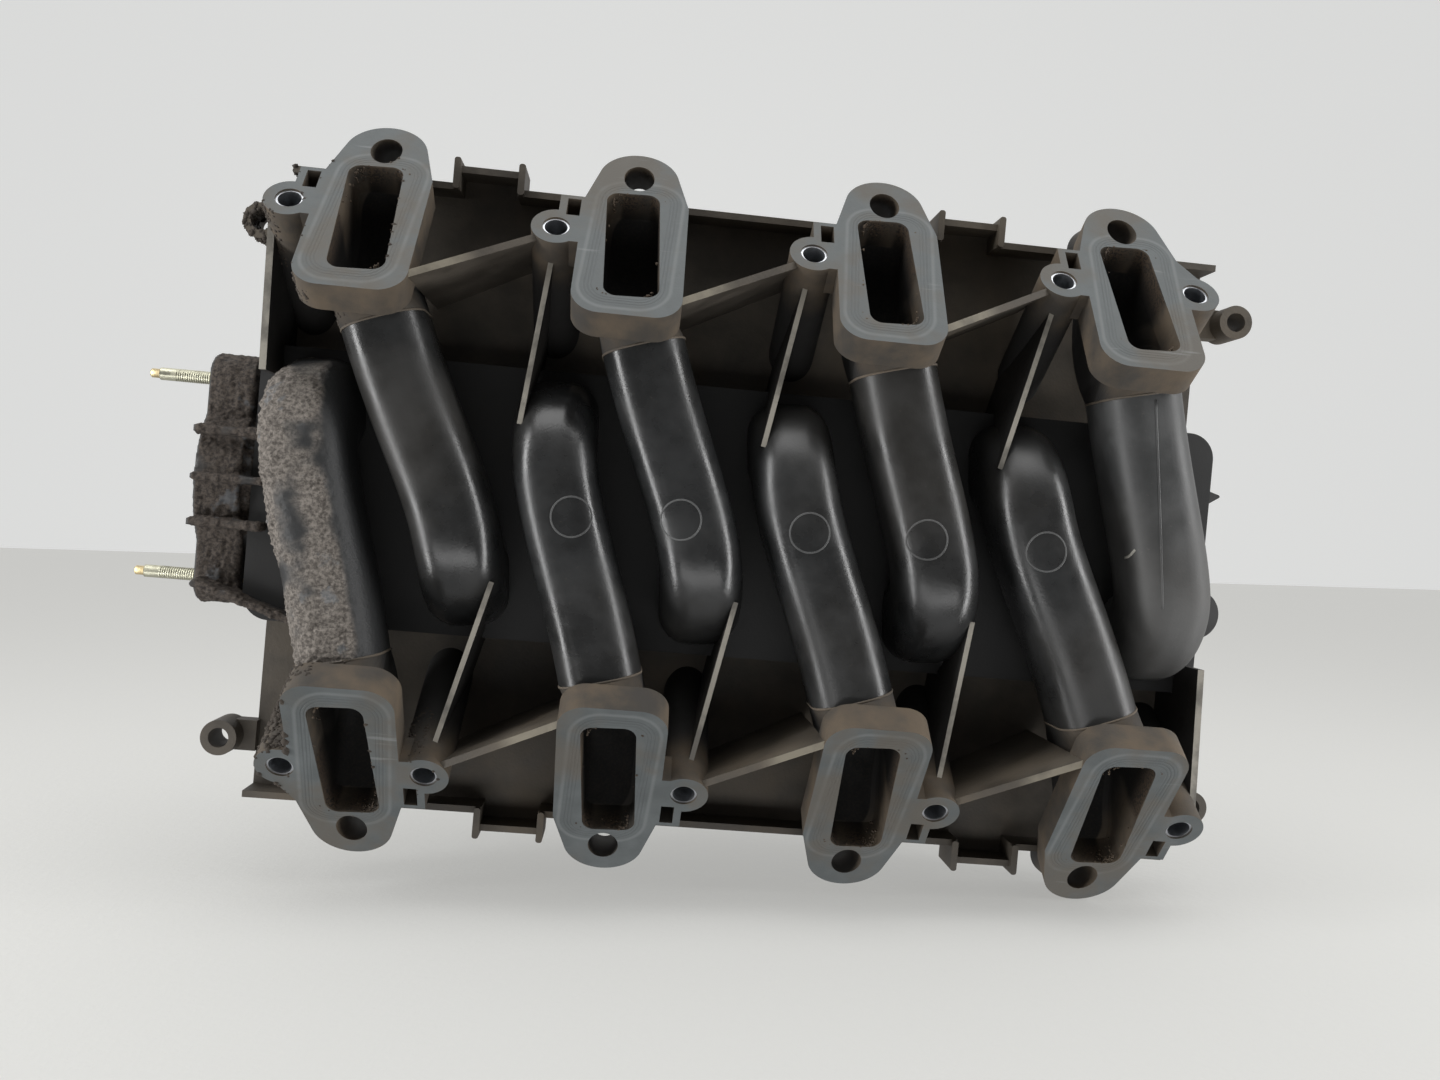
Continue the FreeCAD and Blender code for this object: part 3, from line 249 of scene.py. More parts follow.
def flange_finish(side, number):
    """A port flange: gasket-marked matte face, dusty sides that turn to painted shade further back from the
    face, and a sooty passage painted darker with depth as shade.
    """
    made = Finish("flange_%s_%d" % (side, shown_number(side, number)), specular=0.35)
    tree = made.tree
    turn = SIDES[side]
    face_normal = (0, turn * math.sin(SLOPE), -math.cos(SLOPE))
    up_face = (0, turn * math.cos(SLOPE), math.sin(SLOPE))
    centre = to_row(side, port_place(number), HOLE_LINE_Q, 0)
    lean = OPENING[4]
    u = along(tree, made.place, (turn, 0, 0), turn * centre.x)
    s = along(tree, made.place, up_face, centre.dot(Vector(up_face)) + OPENING[2])
    depth = along(tree, made.place, face_normal, centre.dot(Vector(face_normal)))
    u = maths(tree, "ADD", u, maths(tree, "MULTIPLY", s, math.tan(lean)))
    across = maths(tree, "SUBTRACT", maths(tree, "ABSOLUTE", u), OPENING[0] / 2 - OPENING[3])
    upward = maths(tree, "SUBTRACT", maths(tree, "ABSOLUTE", s), OPENING[1] / 2 - OPENING[3])
    outside_u = maths(tree, "MAXIMUM", across, 0.0)
    outside_s = maths(tree, "MAXIMUM", upward, 0.0)
    square = maths(tree, "ADD", maths(tree, "POWER", outside_u, 2.0), maths(tree, "POWER", outside_s, 2.0))
    reach = maths(tree, "SUBTRACT", maths(tree, "SQRT", square), OPENING[3])
    on_face = maths(tree, "MULTIPLY", ramp(tree, along(tree, made.normal, face_normal), 0.93, 0.98),
                    ramp(tree, depth, -0.0012, -0.0004))
    patches = cloud(tree, made.place, 55.0, 5.0, 0.6)
    broad = cloud(tree, made.place, 17.0, 4.0, 0.6)
    fine = cloud(tree, made.place, 900.0, 3.0, 0.65)
    scratches = cloud(tree, made.place, 120.0, 3.0, 0.7, (0.12, 1.0, 1.0))
    face = blend_colours(tree, ramp(tree, patches, 0.3, 0.72), rgb(0.070, 0.078, 0.079),
                         rgb(0.100, 0.110, 0.112))
    ring_wave = maths(tree, "SINE", maths(tree, "MULTIPLY", reach, GASKET_RING_RATE))
    ring_start = ramp(tree, reach, 0.0012, 0.0022)
    ring_end = ramp(tree, reach, 0.0052, 0.0066, 1.0, 0.0)
    ring_zone = maths(tree, "MULTIPLY", ring_start, ring_end)
    rings = maths(tree, "MULTIPLY", ramp(tree, ring_wave, -0.3, 0.8), ring_zone)
    face = blend_colours(tree, maths(tree, "MULTIPLY", rings, 0.30), face, rgb(0.045, 0.050, 0.052))
    line_start = ramp(tree, reach, 0.0064, 0.0074)
    line_end = ramp(tree, reach, 0.0076, 0.0090, 1.0, 0.0)
    bright = maths(tree, "MULTIPLY", line_start, line_end)
    face = blend_colours(tree, maths(tree, "MULTIPLY", bright, 0.35), face, rgb(0.19, 0.20, 0.20))
    mottle = maths(tree, "ADD", broad, maths(tree, "MULTIPLY", patches, 0.35))
    stain = ramp(tree, mottle, 0.62, 0.82, 0.0, 0.65)
    face = blend_colours(tree, stain, face, rgb(0.085, 0.070, 0.052))
    face = blend_colours(tree, ramp(tree, scratches, 0.66, 0.74, 0.0, 0.35), face, rgb(0.22, 0.23, 0.23))
    side_dust = ramp(tree, maths(tree, "ADD", patches, broad), 0.75, 1.25, 0.1, 0.75)
    walls = blend_colours(tree, side_dust, rgb(0.030, 0.029, 0.027), rgb(0.120, 0.090, 0.060))
    # Painted shade: the side walls darken further back from the face, towards the shaded valley.
    deep_shade = ramp(tree, depth, -0.030, -0.012, 1.0, 0.0)
    walls = blend_colours(tree, deep_shade, walls, rgb(0.020, 0.019, 0.018))
    inside = maths(tree, "MULTIPLY", ramp(tree, reach, -0.0002, 0.0006, 1.0, 0.0),
                   ramp(tree, depth, -0.0003, -0.0012))
    # Inside the port: brown soot near the face, then painted shade that turns it near black deeper in.
    soot_and_shade = blend_colours(tree, ramp(tree, depth, -0.016, -0.002, 0.0, 0.8), rgb(0.006, 0.006, 0.006),
                         rgb(0.060, 0.040, 0.024))
    soot_and_shade = blend_colours(tree, ramp(tree, fine, 0.45, 0.6), soot_and_shade, rgb(0.012, 0.010, 0.008))
    colour = blend_colours(tree, on_face, walls, face)
    colour = blend_colours(tree, inside, colour, soot_and_shade)
    roughness = maths(tree, "ADD", ramp(tree, patches, 0.3, 0.7, 0.50, 0.66),
                      maths(tree, "MULTIPLY", maths(tree, "SUBTRACT", 1.0, on_face), 0.2))
    height = maths(tree, "ADD", fine, maths(tree, "MULTIPLY", patches, 1.5))
    height = maths(tree, "SUBTRACT", height, maths(tree, "MULTIPLY", rings, 1.2))
    return made.set(colour, roughness, height, 0.00016, 0.55)


def metal(name, base, rough, grime, grime_share=0.3, stretch=(1.0, 1.0, 1.0)):
    """Turned or plated metal with fine tool marks and stains."""
    made = Finish(name, metallic=1.0)
    tree = made.tree
    marks = cloud(tree, made.place, 1500.0, 2.0, 0.6, stretch)
    patches = cloud(tree, made.place, 160.0, 4.0, 0.6)
    darker = rgb(*(part * 0.8 for part in base))
    colour = blend_colours(tree, ramp(tree, marks, 0.3, 0.7), darker, rgb(*base))
    colour = blend_colours(tree, ramp(tree, patches, 0.5, 0.7, 0.0, grime_share), colour, rgb(*grime))
    return made.set(colour, ramp(tree, patches, 0.3, 0.7, rough, rough + 0.2), marks, 0.00005, 0.4)


def rubber(name):
    """Matt seal rubber with a little dust."""
    made = Finish(name, specular=0.3)
    tree = made.tree
    patches = cloud(tree, made.place, 130.0, 4.0)
    colour = blend_colours(tree, ramp(tree, patches, 0.4, 0.75), rgb(0.016, 0.016, 0.017),
                           rgb(0.055, 0.050, 0.044))
    return made.set(colour, 0.75, cloud(tree, made.place, 1200.0), 0.0001, 0.5)


def crust_finish(name, low, high, bare):
    """Baked-on dirt over dark moulding, by the mesh's own crust attribute."""
    made = Finish(name, specular=0.3)
    tree = made.tree
    crust = add(tree, "ShaderNodeAttribute", attribute_name="crust").outputs["Fac"]
    grains = cloud(tree, made.place, 650.0, 4.0, 0.7)
    patches = cloud(tree, made.place, 70.0, 4.0, 0.6)
    dirt = blend_colours(tree, ramp(tree, grains, 0.32, 0.68), rgb(*low), rgb(*high))
    scraped = ramp(tree, patches, 0.60, 0.68, 0.0, 0.55)
    dirt = blend_colours(tree, scraped, dirt, rgb(0.115, 0.125, 0.135))
    colour = blend_colours(tree, ramp(tree, crust, 0.15, 0.55), rgb(*bare), dirt)
    roughness = ramp(tree, crust, 0.1, 0.6, 0.45, 0.88)
    return made.set(colour, roughness, grains, 0.0004, 0.7)


# ---------------------------------------------------------------- mesh helpers

def piece(name, vertices, faces, material, smooth=True):
    """A mesh object that rides on the body."""
    mesh = bpy.data.meshes.new(name)
    mesh.from_pydata([tuple(v) for v in vertices], [], faces)
    shell = bmesh.new()
    shell.from_mesh(mesh)
    bmesh.ops.recalc_face_normals(shell, faces=shell.faces)
    shell.to_mesh(mesh)
    shell.free()
    mesh.update()
    if smooth:
        mesh.shade_smooth()
    made = bpy.data.objects.new(name, mesh)
    bpy.context.scene.collection.objects.link(made)
    mesh.materials.append(material)
    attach(made, "root")
    return made


def rounded_ring(width, height, radius, steps):
    """Points of a rounded rectangle, anticlockwise, with evenly cut straights."""
    points = []
    for corner, (sx, sy) in enumerate(((1, 1), (-1, 1), (-1, -1), (1, -1))):
        centre = (sx * (width / 2 - radius), sy * (height / 2 - radius))
        for step in range(steps + 1):
            angle = math.pi / 2 * (corner + step / steps)
            points.append((centre[0] + radius * math.cos(angle), centre[1] + radius * math.sin(angle)))
    return points


def skin(rings, closed_ends=False):
    """Quads between equal rings of point indices counted in order."""
    count = len(rings[0])
    vertices = [point for ring in rings for point in ring]
    faces = []
    for row in range(len(rings) - 1):
        for index in range(count):
            following = (index + 1) % count
            faces.append((row * count + index, row * count + following,
                          (row + 1) * count + following, (row + 1) * count + index))
    if closed_ends:
        faces.append(tuple(reversed(range(count))))
        faces.append(tuple((len(rings) - 1) * count + index for index in range(count)))
    return vertices, faces


def tube_line(points, radius, sides=8, flat=None):
    """A thin bead along a closed or open run of points; flat gives its surface normals."""
    rings = []
    count = len(points)
    for index, point in enumerate(points):
        ahead = points[(index + 1) % count] - points[index - 1]
        ahead.normalize()
        up = flat[index] if flat else Vector((0, 0, -1))
        side = ahead.cross(up).normalized()
        up = side.cross(ahead).normalized()
        ring = []
        for step in range(sides):
            angle = 2 * math.pi * step / sides
            ring.append(point + side * (radius * math.cos(angle)) + up * (radius * 0.5 * math.sin(angle)))
        rings.append(ring)
    return rings


# ---------------------------------------------------------------- runners

def runner_drift(number, share):
    """How far back of its port a runner is, share of its way from throat to mouth."""
    total = port_place(number) - mouth_place(number)
    return total * (EARLY_DRIFT + (1 - EARLY_DRIFT) * share + BOW * math.sin(math.pi * share * share))


def runner_frames(number, rows):
    """Centre, sideways and upward directions of the sections from the throat to the mouth."""
    frames = []
    length = TUBE_START + MOUTH_Q
    straight = length - BEND
    bend_length = BEND * math.pi / 2
    total = straight + bend_length
    for row in range(rows + 1):
        gone = total * row / rows
        if gone <= straight:
            q = TUBE_START - gone
            z = TUBE_AXIS
            pitch = 0.0
        else:
            pitch = (gone - straight) / BEND
            q = TUBE_START - straight - BEND * math.sin(pitch)
            z = TUBE_AXIS + BEND - BEND * math.cos(pitch)
        share = (TUBE_START - q) / length
        step = 0.002
        bend_p = (runner_drift(number, min(share + step, 1)) - runner_drift(number, share - step))
        bend_q = length * (min(share + step, 1) - share + step)
        flat = Vector((-bend_p, -bend_q, 0)).normalized()
        sideways = Vector((-flat.y, flat.x, 0))
        ahead = flat * math.cos(pitch) + Vector((0, 0, 1)) * math.sin(pitch)
        upward = sideways.cross(ahead) * -1
        place = (port_place(number) - runner_drift(number, share), q, z)
        frames.append((place, sideways, upward, ahead))
    top = frames[-1]
    rise = FLOOR_LOW - LINE_Z - top[0][2]
    frames.append(((top[0][0], top[0][1], top[0][2] + rise), top[1], top[2], top[3]))
    return frames


def ring_at(side, section, outline):
    """One section's outline in the row frame."""
    (p, q, z), sideways, upward, ahead = section
    turn = SIDES[side]
    points = []
    for x, y in outline:
        offset = sideways * x + upward * y
        points.append(to_row(side, p + offset.x, q + offset.y, z + offset.z))
    return points


def runner(side, number, material, rows=72, steps=9):
    """One hollow runner tube in place of its CAD node."""
    name = "runner_%s_%d" % (side, shown_number(side, number))
    width, height, radius = TUBE
    sections = runner_frames(number, rows)
    outline = rounded_ring(width, height, radius, steps)
    bore = rounded_ring(width - 2 * TUBE_WALL, height - 2 * TUBE_WALL, radius - TUBE_WALL, steps)
    outer = [ring_at(side, section, outline) for section in sections]
    inner = [ring_at(side, section, bore) for section in sections]
    rings = outer + inner[::-1] + [outer[0]]
    vertices, faces = skin(rings)
    made = piece(name + "_tube", vertices, faces, material)
    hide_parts(name)
    return made, sections


def seam_bead(side, number, sections, material):
    """The thin raised line round a runner where it leaves the port moulding."""
    width, height, radius = TUBE
    outline = rounded_ring(width + 0.3 * MM, height + 0.3 * MM, radius + 0.15 * MM, 9)
    ring = ring_at(side, sections[0], outline)
    middle = sum(ring, Vector()) / len(ring)
    normals = [(point - middle).normalized() for point in ring]
    rings = tube_line(ring, 0.55 * MM, flat=normals)
    vertices, faces = skin(rings + [rings[0]])
    name = "runner_seam_%s_%d" % (side, shown_number(side, number))
    made = piece(name, vertices, faces, material)
    return made


def witness_ring(name, x, y, runner_object, material, radius=8.5 * MM):
    """A round mould mark, raised a little from the underside of a runner."""
    tree = BVHTree.FromObject(runner_object, bpy.context.evaluated_depsgraph_get())
    points = []
    normals = []
    for step in range(64):
        angle = 2 * math.pi * step / 64
        start = Vector((x + radius * math.cos(angle), y + radius * math.sin(angle), -0.5))
        hit, normal, index, distance = tree.ray_cast(start, Vector((0, 0, 1)))
        if hit is None:
            return None
        points.append(hit)
        normals.append(normal if normal.z < 0 else -normal)
    rings = tube_line(points, 0.42 * MM, flat=normals)
    vertices, faces = skin(rings + [rings[0]])
    made = piece(name, vertices, faces, material)
    return made


def surface_line(name, places, runner_object, material, radius):
    """A thin raised line through places (x, y) on the underside of a runner."""
    tree = BVHTree.FromObject(runner_object, bpy.context.evaluated_depsgraph_get())
    points = []
    normals = []
    for (x0, y0), (x1, y1) in zip(places, places[1:]):
        for step in range(12):
            share = step / 12
            hit, normal, index, distance = tree.ray_cast(
                Vector((x0 + (x1 - x0) * share, y0 + (y1 - y0) * share, -0.5)), Vector((0, 0, 1)))
            if hit is not None:
                points.append(hit)
                normals.append(normal if normal.z < 0 else -normal)
    run = [points[0]] + points + [points[-1]]
    flat = [normals[0]] + normals + [normals[-1]]
    rings = tube_line(run, radius, flat=flat)
    vertices, faces = skin(rings[1:-1], closed_ends=True)
    made = piece(name, vertices, faces, material)
    return made


# ---------------------------------------------------------------- crusted pieces

def fractal(points, scale, octaves=4):
    """Fractal noise, about -1 to 1, at each point."""
    return np.array([noise.fractal(Vector(point) * scale, 0.9, 2.1, octaves) for point in points])


def roughen(made, mask, depth, coarse, fine):
    """Push vertices out along their normals by clumpy noise and store the crust attribute."""
    mesh = made.data
    count = len(mesh.vertices)
    places = np.zeros(count * 3)
    mesh.vertices.foreach_get("co", places)
    places = places.reshape(-1, 3)
    normals = np.zeros(count * 3)
    mesh.vertices.foreach_get("normal", normals)
    normals = normals.reshape(-1, 3)
    share = mask(places, normals)
    clumps = fractal(places, coarse, 3)
    share = np.clip(share * (0.75 + 0.9 * clumps), 0, 1)
    grains = fractal(places, fine, 4)
    push = share * depth * np.clip(0.25 + 0.55 * clumps + 0.75 * grains, -0.15, 1.6)
    places += normals * push[:, None]
    mesh.vertices.foreach_set("co", places.ravel())
    crust = mesh.attributes.new("crust", "FLOAT", "POINT")
    crust.data.foreach_set("value", share.astype(np.float32))
    mesh.update()


def smooth_range(values, low, high):
    """Zero below low, one above high, smooth between."""
    share = np.clip((values - low) / (high - low), 0, 1)
    return share * share * (3 - 2 * share)


def crusted_runner_mask(places, normals):
    """Most of the crust lies on the forward and lower side of the front right runner."""
    forward = smooth_range(normals[:, 0] * 0.8 - normals[:, 2] * 0.45, -0.25, 0.55)
    return forward


def throttle_mask(places, normals):
    """Crust on the sides and underside of the throttle flange; its front and bore stay plain."""
    front = smooth_range(places[:, 0], -0.0012, -0.0004)
    radius = np.hypot(places[:, 1], places[:, 2])
    bore = smooth_range(radius, 0.0405, 0.043)
    return (1 - front) * bore


def copied_shape(name, node, voxel):
    """A CAD node's shape as a dense mesh of even faces."""
    source = frame["nodes"][node]
    made = source.copy()
    made.data = source.data.copy()
    made.name = name
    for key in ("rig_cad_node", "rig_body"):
        if key in made:
            del made[key]
    bpy.context.scene.collection.objects.link(made)
    made.parent = None
    remesh = made.modifiers.new("even", "REMESH")
    remesh.mode = "VOXEL"
    remesh.voxel_size = voxel
    graph = bpy.context.evaluated_depsgraph_get()
    mesh = bpy.data.meshes.new_from_object(made.evaluated_get(graph), depsgraph=graph)
    made.modifiers.clear()
    made.data = mesh
    mesh.shade_smooth()
    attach(made, "root")
    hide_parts(node)
    return made


def grains(name, spots, material, seed):
    """Many small irregular crumbs: spots are (place, radius)."""
    draw = random.Random(seed)
    golden = (1 + math.sqrt(5)) / 2
    corners = [Vector(c).normalized() for c in (
        (-1, golden, 0), (1, golden, 0), (-1, -golden, 0), (1, -golden, 0),
        (0, -1, golden), (0, 1, golden), (0, -1, -golden), (0, 1, -golden),
        (golden, 0, -1), (golden, 0, 1), (-golden, 0, -1), (-golden, 0, 1))]
    sides = ((0, 11, 5), (0, 5, 1), (0, 1, 7), (0, 7, 10), (0, 10, 11), (1, 5, 9), (5, 11, 4),
             (11, 10, 2), (10, 7, 6), (7, 1, 8), (3, 9, 4), (3, 4, 2), (3, 2, 6), (3, 6, 8),
             (3, 8, 9), (4, 9, 5), (2, 4, 11), (6, 2, 10), (8, 6, 7), (9, 8, 1))
    vertices = []
    faces = []
    for place, radius in spots:
        start = len(vertices)
        squash = Vector((draw.uniform(0.7, 1.2), draw.uniform(0.7, 1.2), draw.uniform(0.6, 1.1)))
        for corner in corners:
            reach = radius * draw.uniform(0.7, 1.25)
            offset = Vector((corner.x * squash.x, corner.y * squash.y, corner.z * squash.z))
            vertices.append(place + offset * reach)
        faces += [tuple(start + index for index in side) for side in sides]
    made = piece(name, vertices, faces, material)
    return made


def surface_spots(node, count, draw, sizes, keep):
    """Spots spread over the part of a CAD node's surface that a test keeps: (place, radius)."""
    source = frame["nodes"][node]
    mesh = source.data
    mesh.calc_loop_triangles()
    triangles = []
    for triangle in mesh.loop_triangles:
        corners = [source.matrix_world @ mesh.vertices[index].co for index in triangle.vertices]
        triangles.append(corners)
    weights = [(b - a).cross(c - a).length for a, b, c in triangles]
    spots = []
    for a, b, c in draw.choices(triangles, weights, k=count):
        u, v = draw.random(), draw.random()
        if u + v > 1:
            u, v = 1 - u, 1 - v
        place = a + (b - a) * u + (c - a) * v
        normal = (b - a).cross(c - a).normalized()
        if keep(place, normal):
            radius = draw.uniform(*sizes) * MM
            spots.append((place - normal * radius * 0.35, radius))
    return spots


def port_rim_spots(side, number, count, draw):
    """Crumbs along the rim of a port opening, just inside the face."""
    width, length, middle, radius, lean = OPENING
    outline = rounded_ring(width, length, radius, 12)
    turn = SIDES[side]
    spots = []
    for _ in range(count):
        index = draw.randrange(len(outline))
        first = outline[index]
        second = outline[(index + 1) % len(outline)]
        share = draw.random()
        u = first[0] + (second[0] - first[0]) * share
        s = first[1] + (second[1] - first[1]) * share
        u, s = u - s * math.sin(lean), s + middle
        depth = abs(draw.gauss(0, 4.0)) * MM
        q = HOLE_LINE_Q + s * math.cos(SLOPE) - depth * math.sin(SLOPE)
        z = s * math.sin(SLOPE) + depth * math.cos(SLOPE)
        spots.append((to_row(side, port_place(number) + u, q, z), draw.uniform(0.18, 0.62) * MM))
    return spots


# ---------------------------------------------------------------- studs

def stud(index, material, tip_material):
    """A stud with a real thread, a plain collar and a reduced driving end."""
    angle = math.radians(90 + index * 120)
    centre = Vector((0, STUD_CIRCLE * math.cos(angle), STUD_CIRCLE * math.sin(angle)))
    sides = 28
    rings = []
    reach = STUD["reach"] - STUD["tip_length"]
    steps = int(reach / (STUD["pitch"] / 8))
    for step in range(steps + 1):
        x = reach * step / steps
        ring = []
        for side in range(sides):
            turn = 2 * math.pi * side / sides
            phase = (x / STUD["pitch"] + side / sides) % 1.0
            groove = 0.36 * MM * (1 - abs(2 * phase - 1)) if x < 18.6 * MM else 0.12 * MM
            radius = STUD["radius"] - groove
            ring.append(centre + Vector((x, radius * math.cos(turn), radius * math.sin(turn))))
        rings.append(ring)
    vertices, faces = skin(rings)
    shank = piece("stud_%d" % (index + 1), vertices, faces, material)
    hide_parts("throttle_studs")
    rings = []
    profile = ((reach - 0.2 * MM, STUD["radius"] - 0.12 * MM), (reach, STUD["radius"] - 0.12 * MM),
               (reach + 0.2 * MM, STUD["tip"]), (STUD["reach"] - 0.5 * MM, STUD["tip"]),
               (STUD["reach"], STUD["tip"] - 0.5 * MM), (STUD["reach"], 0.3 * MM))
    for x, radius in profile:
        ring = []
        for side in range(sides):
            turn = 2 * math.pi * side / sides
            ring.append(centre + Vector((x, radius * math.cos(turn), radius * math.sin(turn))))
        rings.append(ring)
    vertices, faces = skin(rings, closed_ends=True)
    tip = piece("stud_tip_%d" % (index + 1), vertices, faces, tip_material)
    return shank


# ---------------------------------------------------------------- stage, light, camera

def stage_plane(name, corner, first, second, material):
    """One face seen by the camera only."""
    mesh = bpy.data.meshes.new(name)
    mesh.from_pydata([corner, corner + first, corner + first + second, corner + second], [], [(0, 1, 2, 3)])
    made = bpy.data.objects.new(name, mesh)
    bpy.context.scene.collection.objects.link(made)
    mesh.materials.append(material)
    for setting in ("visible_diffuse", "visible_glossy", "visible_transmission", "visible_shadow"):
        setattr(made, setting, False)
    return made


def stage_finish(name, colour, bump, glow):
    """White board, see-through from behind so that it hides nothing in other views."""
    made = Finish(name, specular=0.1)
    made.shader.inputs["Emission Color"].default_value = rgb(*colour)
    made.shader.inputs["Emission Strength"].default_value = glow
    tree = made.tree
    height = cloud(tree, made.place, 260.0, 3.0, 0.6)
    material = made.set(rgb(*colour), 0.9, height, bump, 0.5)
    clear = add(tree, "ShaderNodeBsdfTransparent")
    back = add(tree, "ShaderNodeNewGeometry").outputs["Backfacing"]
    mixed = add(tree, "ShaderNodeMixShader", {0: back, 1: made.shader.outputs[0], 2: clear.outputs[0]})
    output = next(found for found in tree.nodes if found.type == "OUTPUT_MATERIAL")
    tree.links.new(mixed.outputs[0], output.inputs[0])
    return material


def area_light(name, place, target, width, height, power, colour=(1, 1, 1)):
    """A soft rectangular light."""
    data = bpy.data.lights.new(name, "AREA")
    data.shape = "RECTANGLE"
    data.size = width
    data.size_y = height
    data.energy = power
    data.color = colour
    made = bpy.data.objects.new(name, data)
    bpy.context.scene.collection.objects.link(made)
    made.location = place
    made.rotation_mode = "QUATERNION"
    made.rotation_quaternion = (Vector(target) - Vector(place)).to_track_quat("-Z", "Y")
    made.visible_camera = False
    return made


def surroundings():
    """World light by direction: bright above and on the floor below, dim in front."""
    world = bpy.data.worlds.new("studio")
    bpy.context.scene.world = world
    world.use_nodes = True
    tree = world.node_tree
    place = add(tree, "ShaderNodeTexCoord").outputs["Generated"]
    up = along(tree, place, (0, 1, 0))
    level = ramp(tree, up, -0.7, 0.9, 0.26, 1.0)
    front = ramp(tree, along(tree, place, (0, 0, -1)), 0.1, 0.9, 1.0, 0.20)
    level = maths(tree, "MULTIPLY", level, front)
    below = ramp(tree, up, -0.65, -0.2, 0.5, 0.0)
    level = maths(tree, "MAXIMUM", level, below)
    background = tree.nodes["Background"]
    feed(tree, rgb(1.0, 0.995, 0.985), background.inputs[0])
    feed(tree, level, background.inputs[1])


def camera():
    """The camera below the part, looking up into the valley."""
    data = bpy.data.cameras.new("view")
    data.sensor_width = 36.0
    data.lens = 28.84
    data.clip_start = 0.01
    data.clip_end = 20.0
    made = bpy.data.objects.new("view", data)
    bpy.context.scene.collection.objects.link(made)
    right = Vector((-0.99348, 0.08806, -0.07237))
    look = Vector((-0.07376, -0.01263, 0.99720))
    up = Vector((0.08690, 0.99603, 0.01905))
    turned = Matrix((right, up, -look)).transposed().to_4x4()
    made.matrix_world = Matrix.Translation(Vector((-0.1971, -0.00145, -0.5754))) @ turned
    bpy.context.scene.camera = made
    return made


# ---------------------------------------------------------------- the part

dark_runner = nylon("runner_nylon", (0.016, 0.0165, 0.0168), (0.050, 0.044, 0.036), 0.22, 0.28)
grey_runner = nylon("runner_nylon_grey", (0.040, 0.041, 0.041), (0.080, 0.075, 0.068), 0.35, 0.50)
shell_nylon = nylon("shell_nylon", (0.020, 0.020, 0.0205), (0.045, 0.042, 0.038), 0.3, 0.45)
# The plenum floor's near-black nylon colour is painted shade for the dark valley floor between the runners.
shaded_floor_nylon = nylon("shaded_floor_nylon", (0.007, 0.007, 0.0072), (0.016, 0.015, 0.013), 0.25, 0.55)
deck_nylon = edged("deck_nylon", (0.062, 0.053, 0.042), (0.19, 0.17, 0.13), LIP_LOW + 0.006,
                   (0.110, 0.088, 0.062))
# The pale lower edge colour of the end walls and gussets is a painted highlight on their free edges.
web_nylon = edged("web_nylon", (0.026, 0.025, 0.024), (0.30, 0.28, 0.24), LINE_Z + 0.012,
                  (0.045, 0.040, 0.034))
bead_dust = nylon("bead_dust", (0.075, 0.060, 0.044), (0.12, 0.095, 0.070), 0.5, 0.7)
pale_mark = nylon("pale_mark", (0.055, 0.056, 0.056), (0.090, 0.088, 0.084), 0.4, 0.5)
bright_scrape = nylon("bright_scrape", (0.30, 0.29, 0.26), (0.35, 0.33, 0.28), 0.3, 0.6)
runner_crust = crust_finish("runner_crust", (0.055, 0.048, 0.042), (0.190, 0.170, 0.150),
                            (0.022, 0.0225, 0.023))
throttle_crust = crust_finish("throttle_crust", (0.022, 0.018, 0.016), (0.085, 0.070, 0.058),
                              (0.030, 0.029, 0.028))
lump_dirt = nylon("lump_dirt", (0.040, 0.033, 0.027), (0.110, 0.090, 0.070), 0.5, 0.85, specular=0.3)
crumb_dirt = nylon("crumb_dirt", (0.050, 0.037, 0.026), (0.150, 0.115, 0.080), 0.5, 0.85, specular=0.3)
steel = metal("sleeve_steel", (0.55, 0.57, 0.60), 0.28, (0.10, 0.08, 0.06), 0.35, (1.0, 1.0, 6.0))
zinc = metal("zinc_steel", (0.62, 0.61, 0.48), 0.32, (0.12, 0.10, 0.07), 0.4)
zinc_tip = metal("zinc_tip", (0.70, 0.58, 0.34), 0.35, (0.16, 0.11, 0.06), 0.4)
brass = metal("brass", (0.72, 0.55, 0.28), 0.35, (0.18, 0.12, 0.06), 0.35)
seal_rubber = rubber("seal_rubber")

CAD_FINISHES = {
    "plenum_floor": shaded_floor_nylon,
    "plenum_body": shell_nylon,
    "upper_shell": shell_nylon,
    "side_deck": deck_nylon,
    "front_end_wall": web_nylon,
    "rear_end_wall": web_nylon,
    "gusset": web_nylon,
    "throttle_seal": seal_rubber,
    "throttle_inserts": brass,
    "rail_inserts": brass,
    "cover_inserts": brass,
    "bolt_sleeves": steel,
}

for name, node in frame["nodes"].items():
    for stem, finish in CAD_FINISHES.items():
        if name.startswith(stem):
            node.data.materials.clear()
            node.data.materials.append(finish)

runners = {}
crumbs = random.Random(11)
rim_spots = []
for side in SIDES:
    for number in range(1, PORTS + 1):
        key = "%s_%d" % (side, shown_number(side, number))
        flange = frame["nodes"]["port_flange_" + key]
        flange.data.materials.clear()
        flange.data.materials.append(flange_finish(side, number))
        finish = dark_runner
        if key == "left_4":
            finish = grey_runner
        if key == "right_1":
            finish = runner_crust
        fine = key == "right_1"
        made, sections = runner(side, number, finish, 260 if fine else 72, 36 if fine else 9)
        runners[key] = made
        seam_bead(side, number, sections, bead_dust)
        rim_spots += port_rim_spots(side, number, 230, crumbs)

roughen(runners["right_1"], crusted_runner_mask, 1.7 * MM, 45.0, 420.0)
grains("port_rim_crumbs", rim_spots, crumb_dirt, 5)

# Baked-on lumps on the front corners, where the road dirt gathered.
deck_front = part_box("side_deck_left")[1].x
ear_low, ear_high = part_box("port_flange_right_1")


def on_front_boss(place, normal):
    """The clip boss at the front of the left deck."""
    return place.x > deck_front - 22 * MM and normal.z < 0.5


def on_front_ear(place, normal):
    """The underside of the right bank's foremost bolt ear."""
    near_tip = place.x > ear_high.x - 16 * MM and place.y > -112 * MM
    return near_tip and normal.z < -0.3 and place.z > ear_low.z + 3 * MM


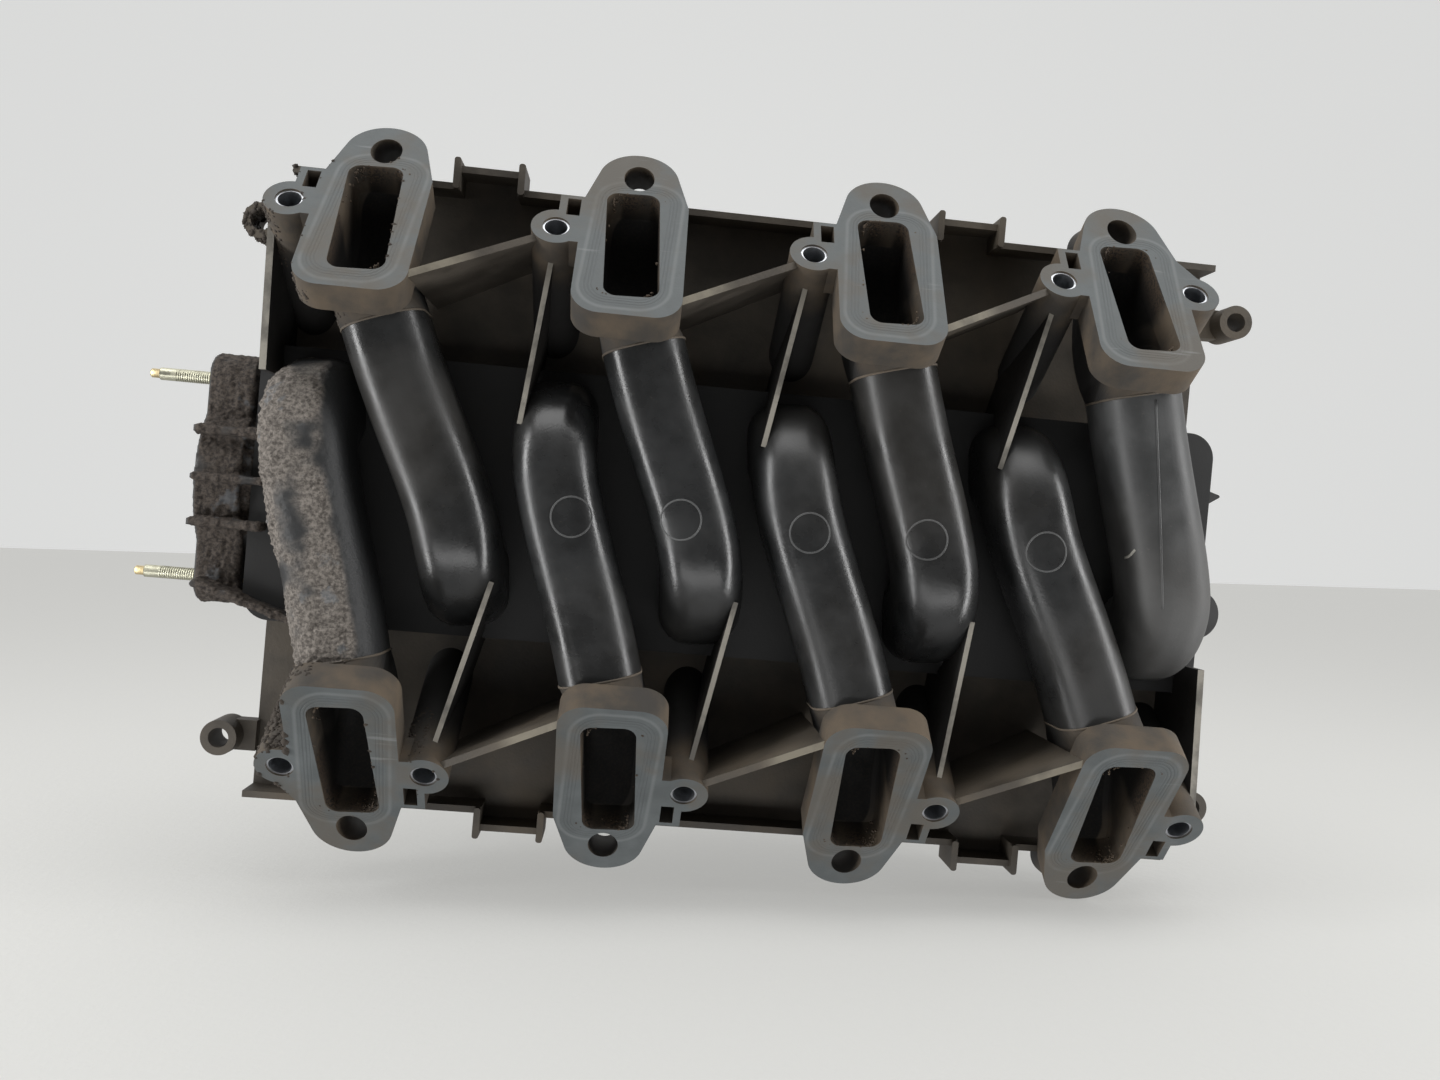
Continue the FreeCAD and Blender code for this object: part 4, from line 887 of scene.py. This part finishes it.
lumps = surface_spots("side_deck_left", 30000, crumbs, (0.5, 1.6), on_front_boss)
for side, reach in (("left", 0.30), ("right", 0.10)):
    face_normal = Vector((0, SIDES[side] * math.sin(SLOPE), -math.cos(SLOPE)))
    lumps += surface_spots("port_flange_%s_1" % side, 9000, crumbs, (0.35, 1.2),
                           lambda place, normal: normal.dot(face_normal) < 0.8 and normal.x > reach
                           and LINE_Z - 24 * MM < place.z < LINE_Z + 20 * MM)
lumps += surface_spots("port_flange_right_1", 9000, crumbs, (0.6, 2.0), on_front_ear)
grains("corner_lumps", lumps, lump_dirt, 9)

# Mould marks on the undersides of the middle runners, from the middle of the valley.
WITNESS = (("right_2", 76.0, -3.4), ("left_2", 30.1, -0.6), ("right_3", -24.9, -1.3),
           ("left_3", -75.8, 0.2), ("right_4", -128.2, -0.5))
for index, (key, x, y) in enumerate(WITNESS, start=1):
    witness_ring("mould_mark_%d" % index, VALLEY_X + x * MM, y * MM, runners[key], pale_mark)

last = VALLEY_X - 169 * MM
surface_line("parting_line", ((last, 78 * MM), (last - 7 * MM, 26 * MM), (last - 14 * MM, -25 * MM)),
             runners["left_4"], pale_mark, 0.5 * MM)
surface_line("scrape", ((last - 1 * MM, 4 * MM), (last + 1 * MM, -3 * MM)),
             runners["left_4"], bright_scrape, 0.6 * MM)

neck = copied_shape("throttle_neck_worn", "throttle_neck", 0.9 * MM)
neck.data.materials.clear()
neck.data.materials.append(throttle_crust)
roughen(neck, throttle_mask, 1.1 * MM, 60.0, 480.0)

for index in range(3):
    stud(index, zinc, zinc_tip)

# ---------------------------------------------------------------- stage

board = stage_finish("board", (0.27, 0.27, 0.262), 0.0006, 1.3)
backdrop = stage_finish("backdrop", (0.60, 0.605, 0.60), 0.0002, 0.80)
floor_touch = Vector((-0.418, -0.1640, 0))
roll = math.radians(-3.2)
floor_along = Vector((math.cos(roll), math.sin(roll), 0))
floor_corner = floor_touch - floor_along * 4 + Vector((0, 0, -1.7))
stage_plane("floor", floor_corner, Vector((0, 0, 5.4)), floor_along * 8, board)
stage_plane("wall", Vector((-6, -2, 3.6)), Vector((0, 6, 0)), Vector((12, 0, 0)), backdrop)

surroundings()
area_light("floor_bounce", (VALLEY_X, -0.62, -0.95), (VALLEY_X, -0.05, -0.05), 1.6, 0.35, 5.0)
area_light("top_light", (VALLEY_X, 1.1, -0.35), (VALLEY_X, 0, -0.05), 1.6, 0.6, 8.0)
area_light("rear_strip", (VALLEY_X - 0.9, 0.0, -0.34), (VALLEY_X, 0, -0.05), 1.5, 0.16, 9.0)
area_light("front_strip", (VALLEY_X + 0.9, 0.0, -0.34), (VALLEY_X, 0, -0.05), 1.5, 0.16, 10.0)
camera()
bpy.context.scene.view_settings.view_transform = "Standard"
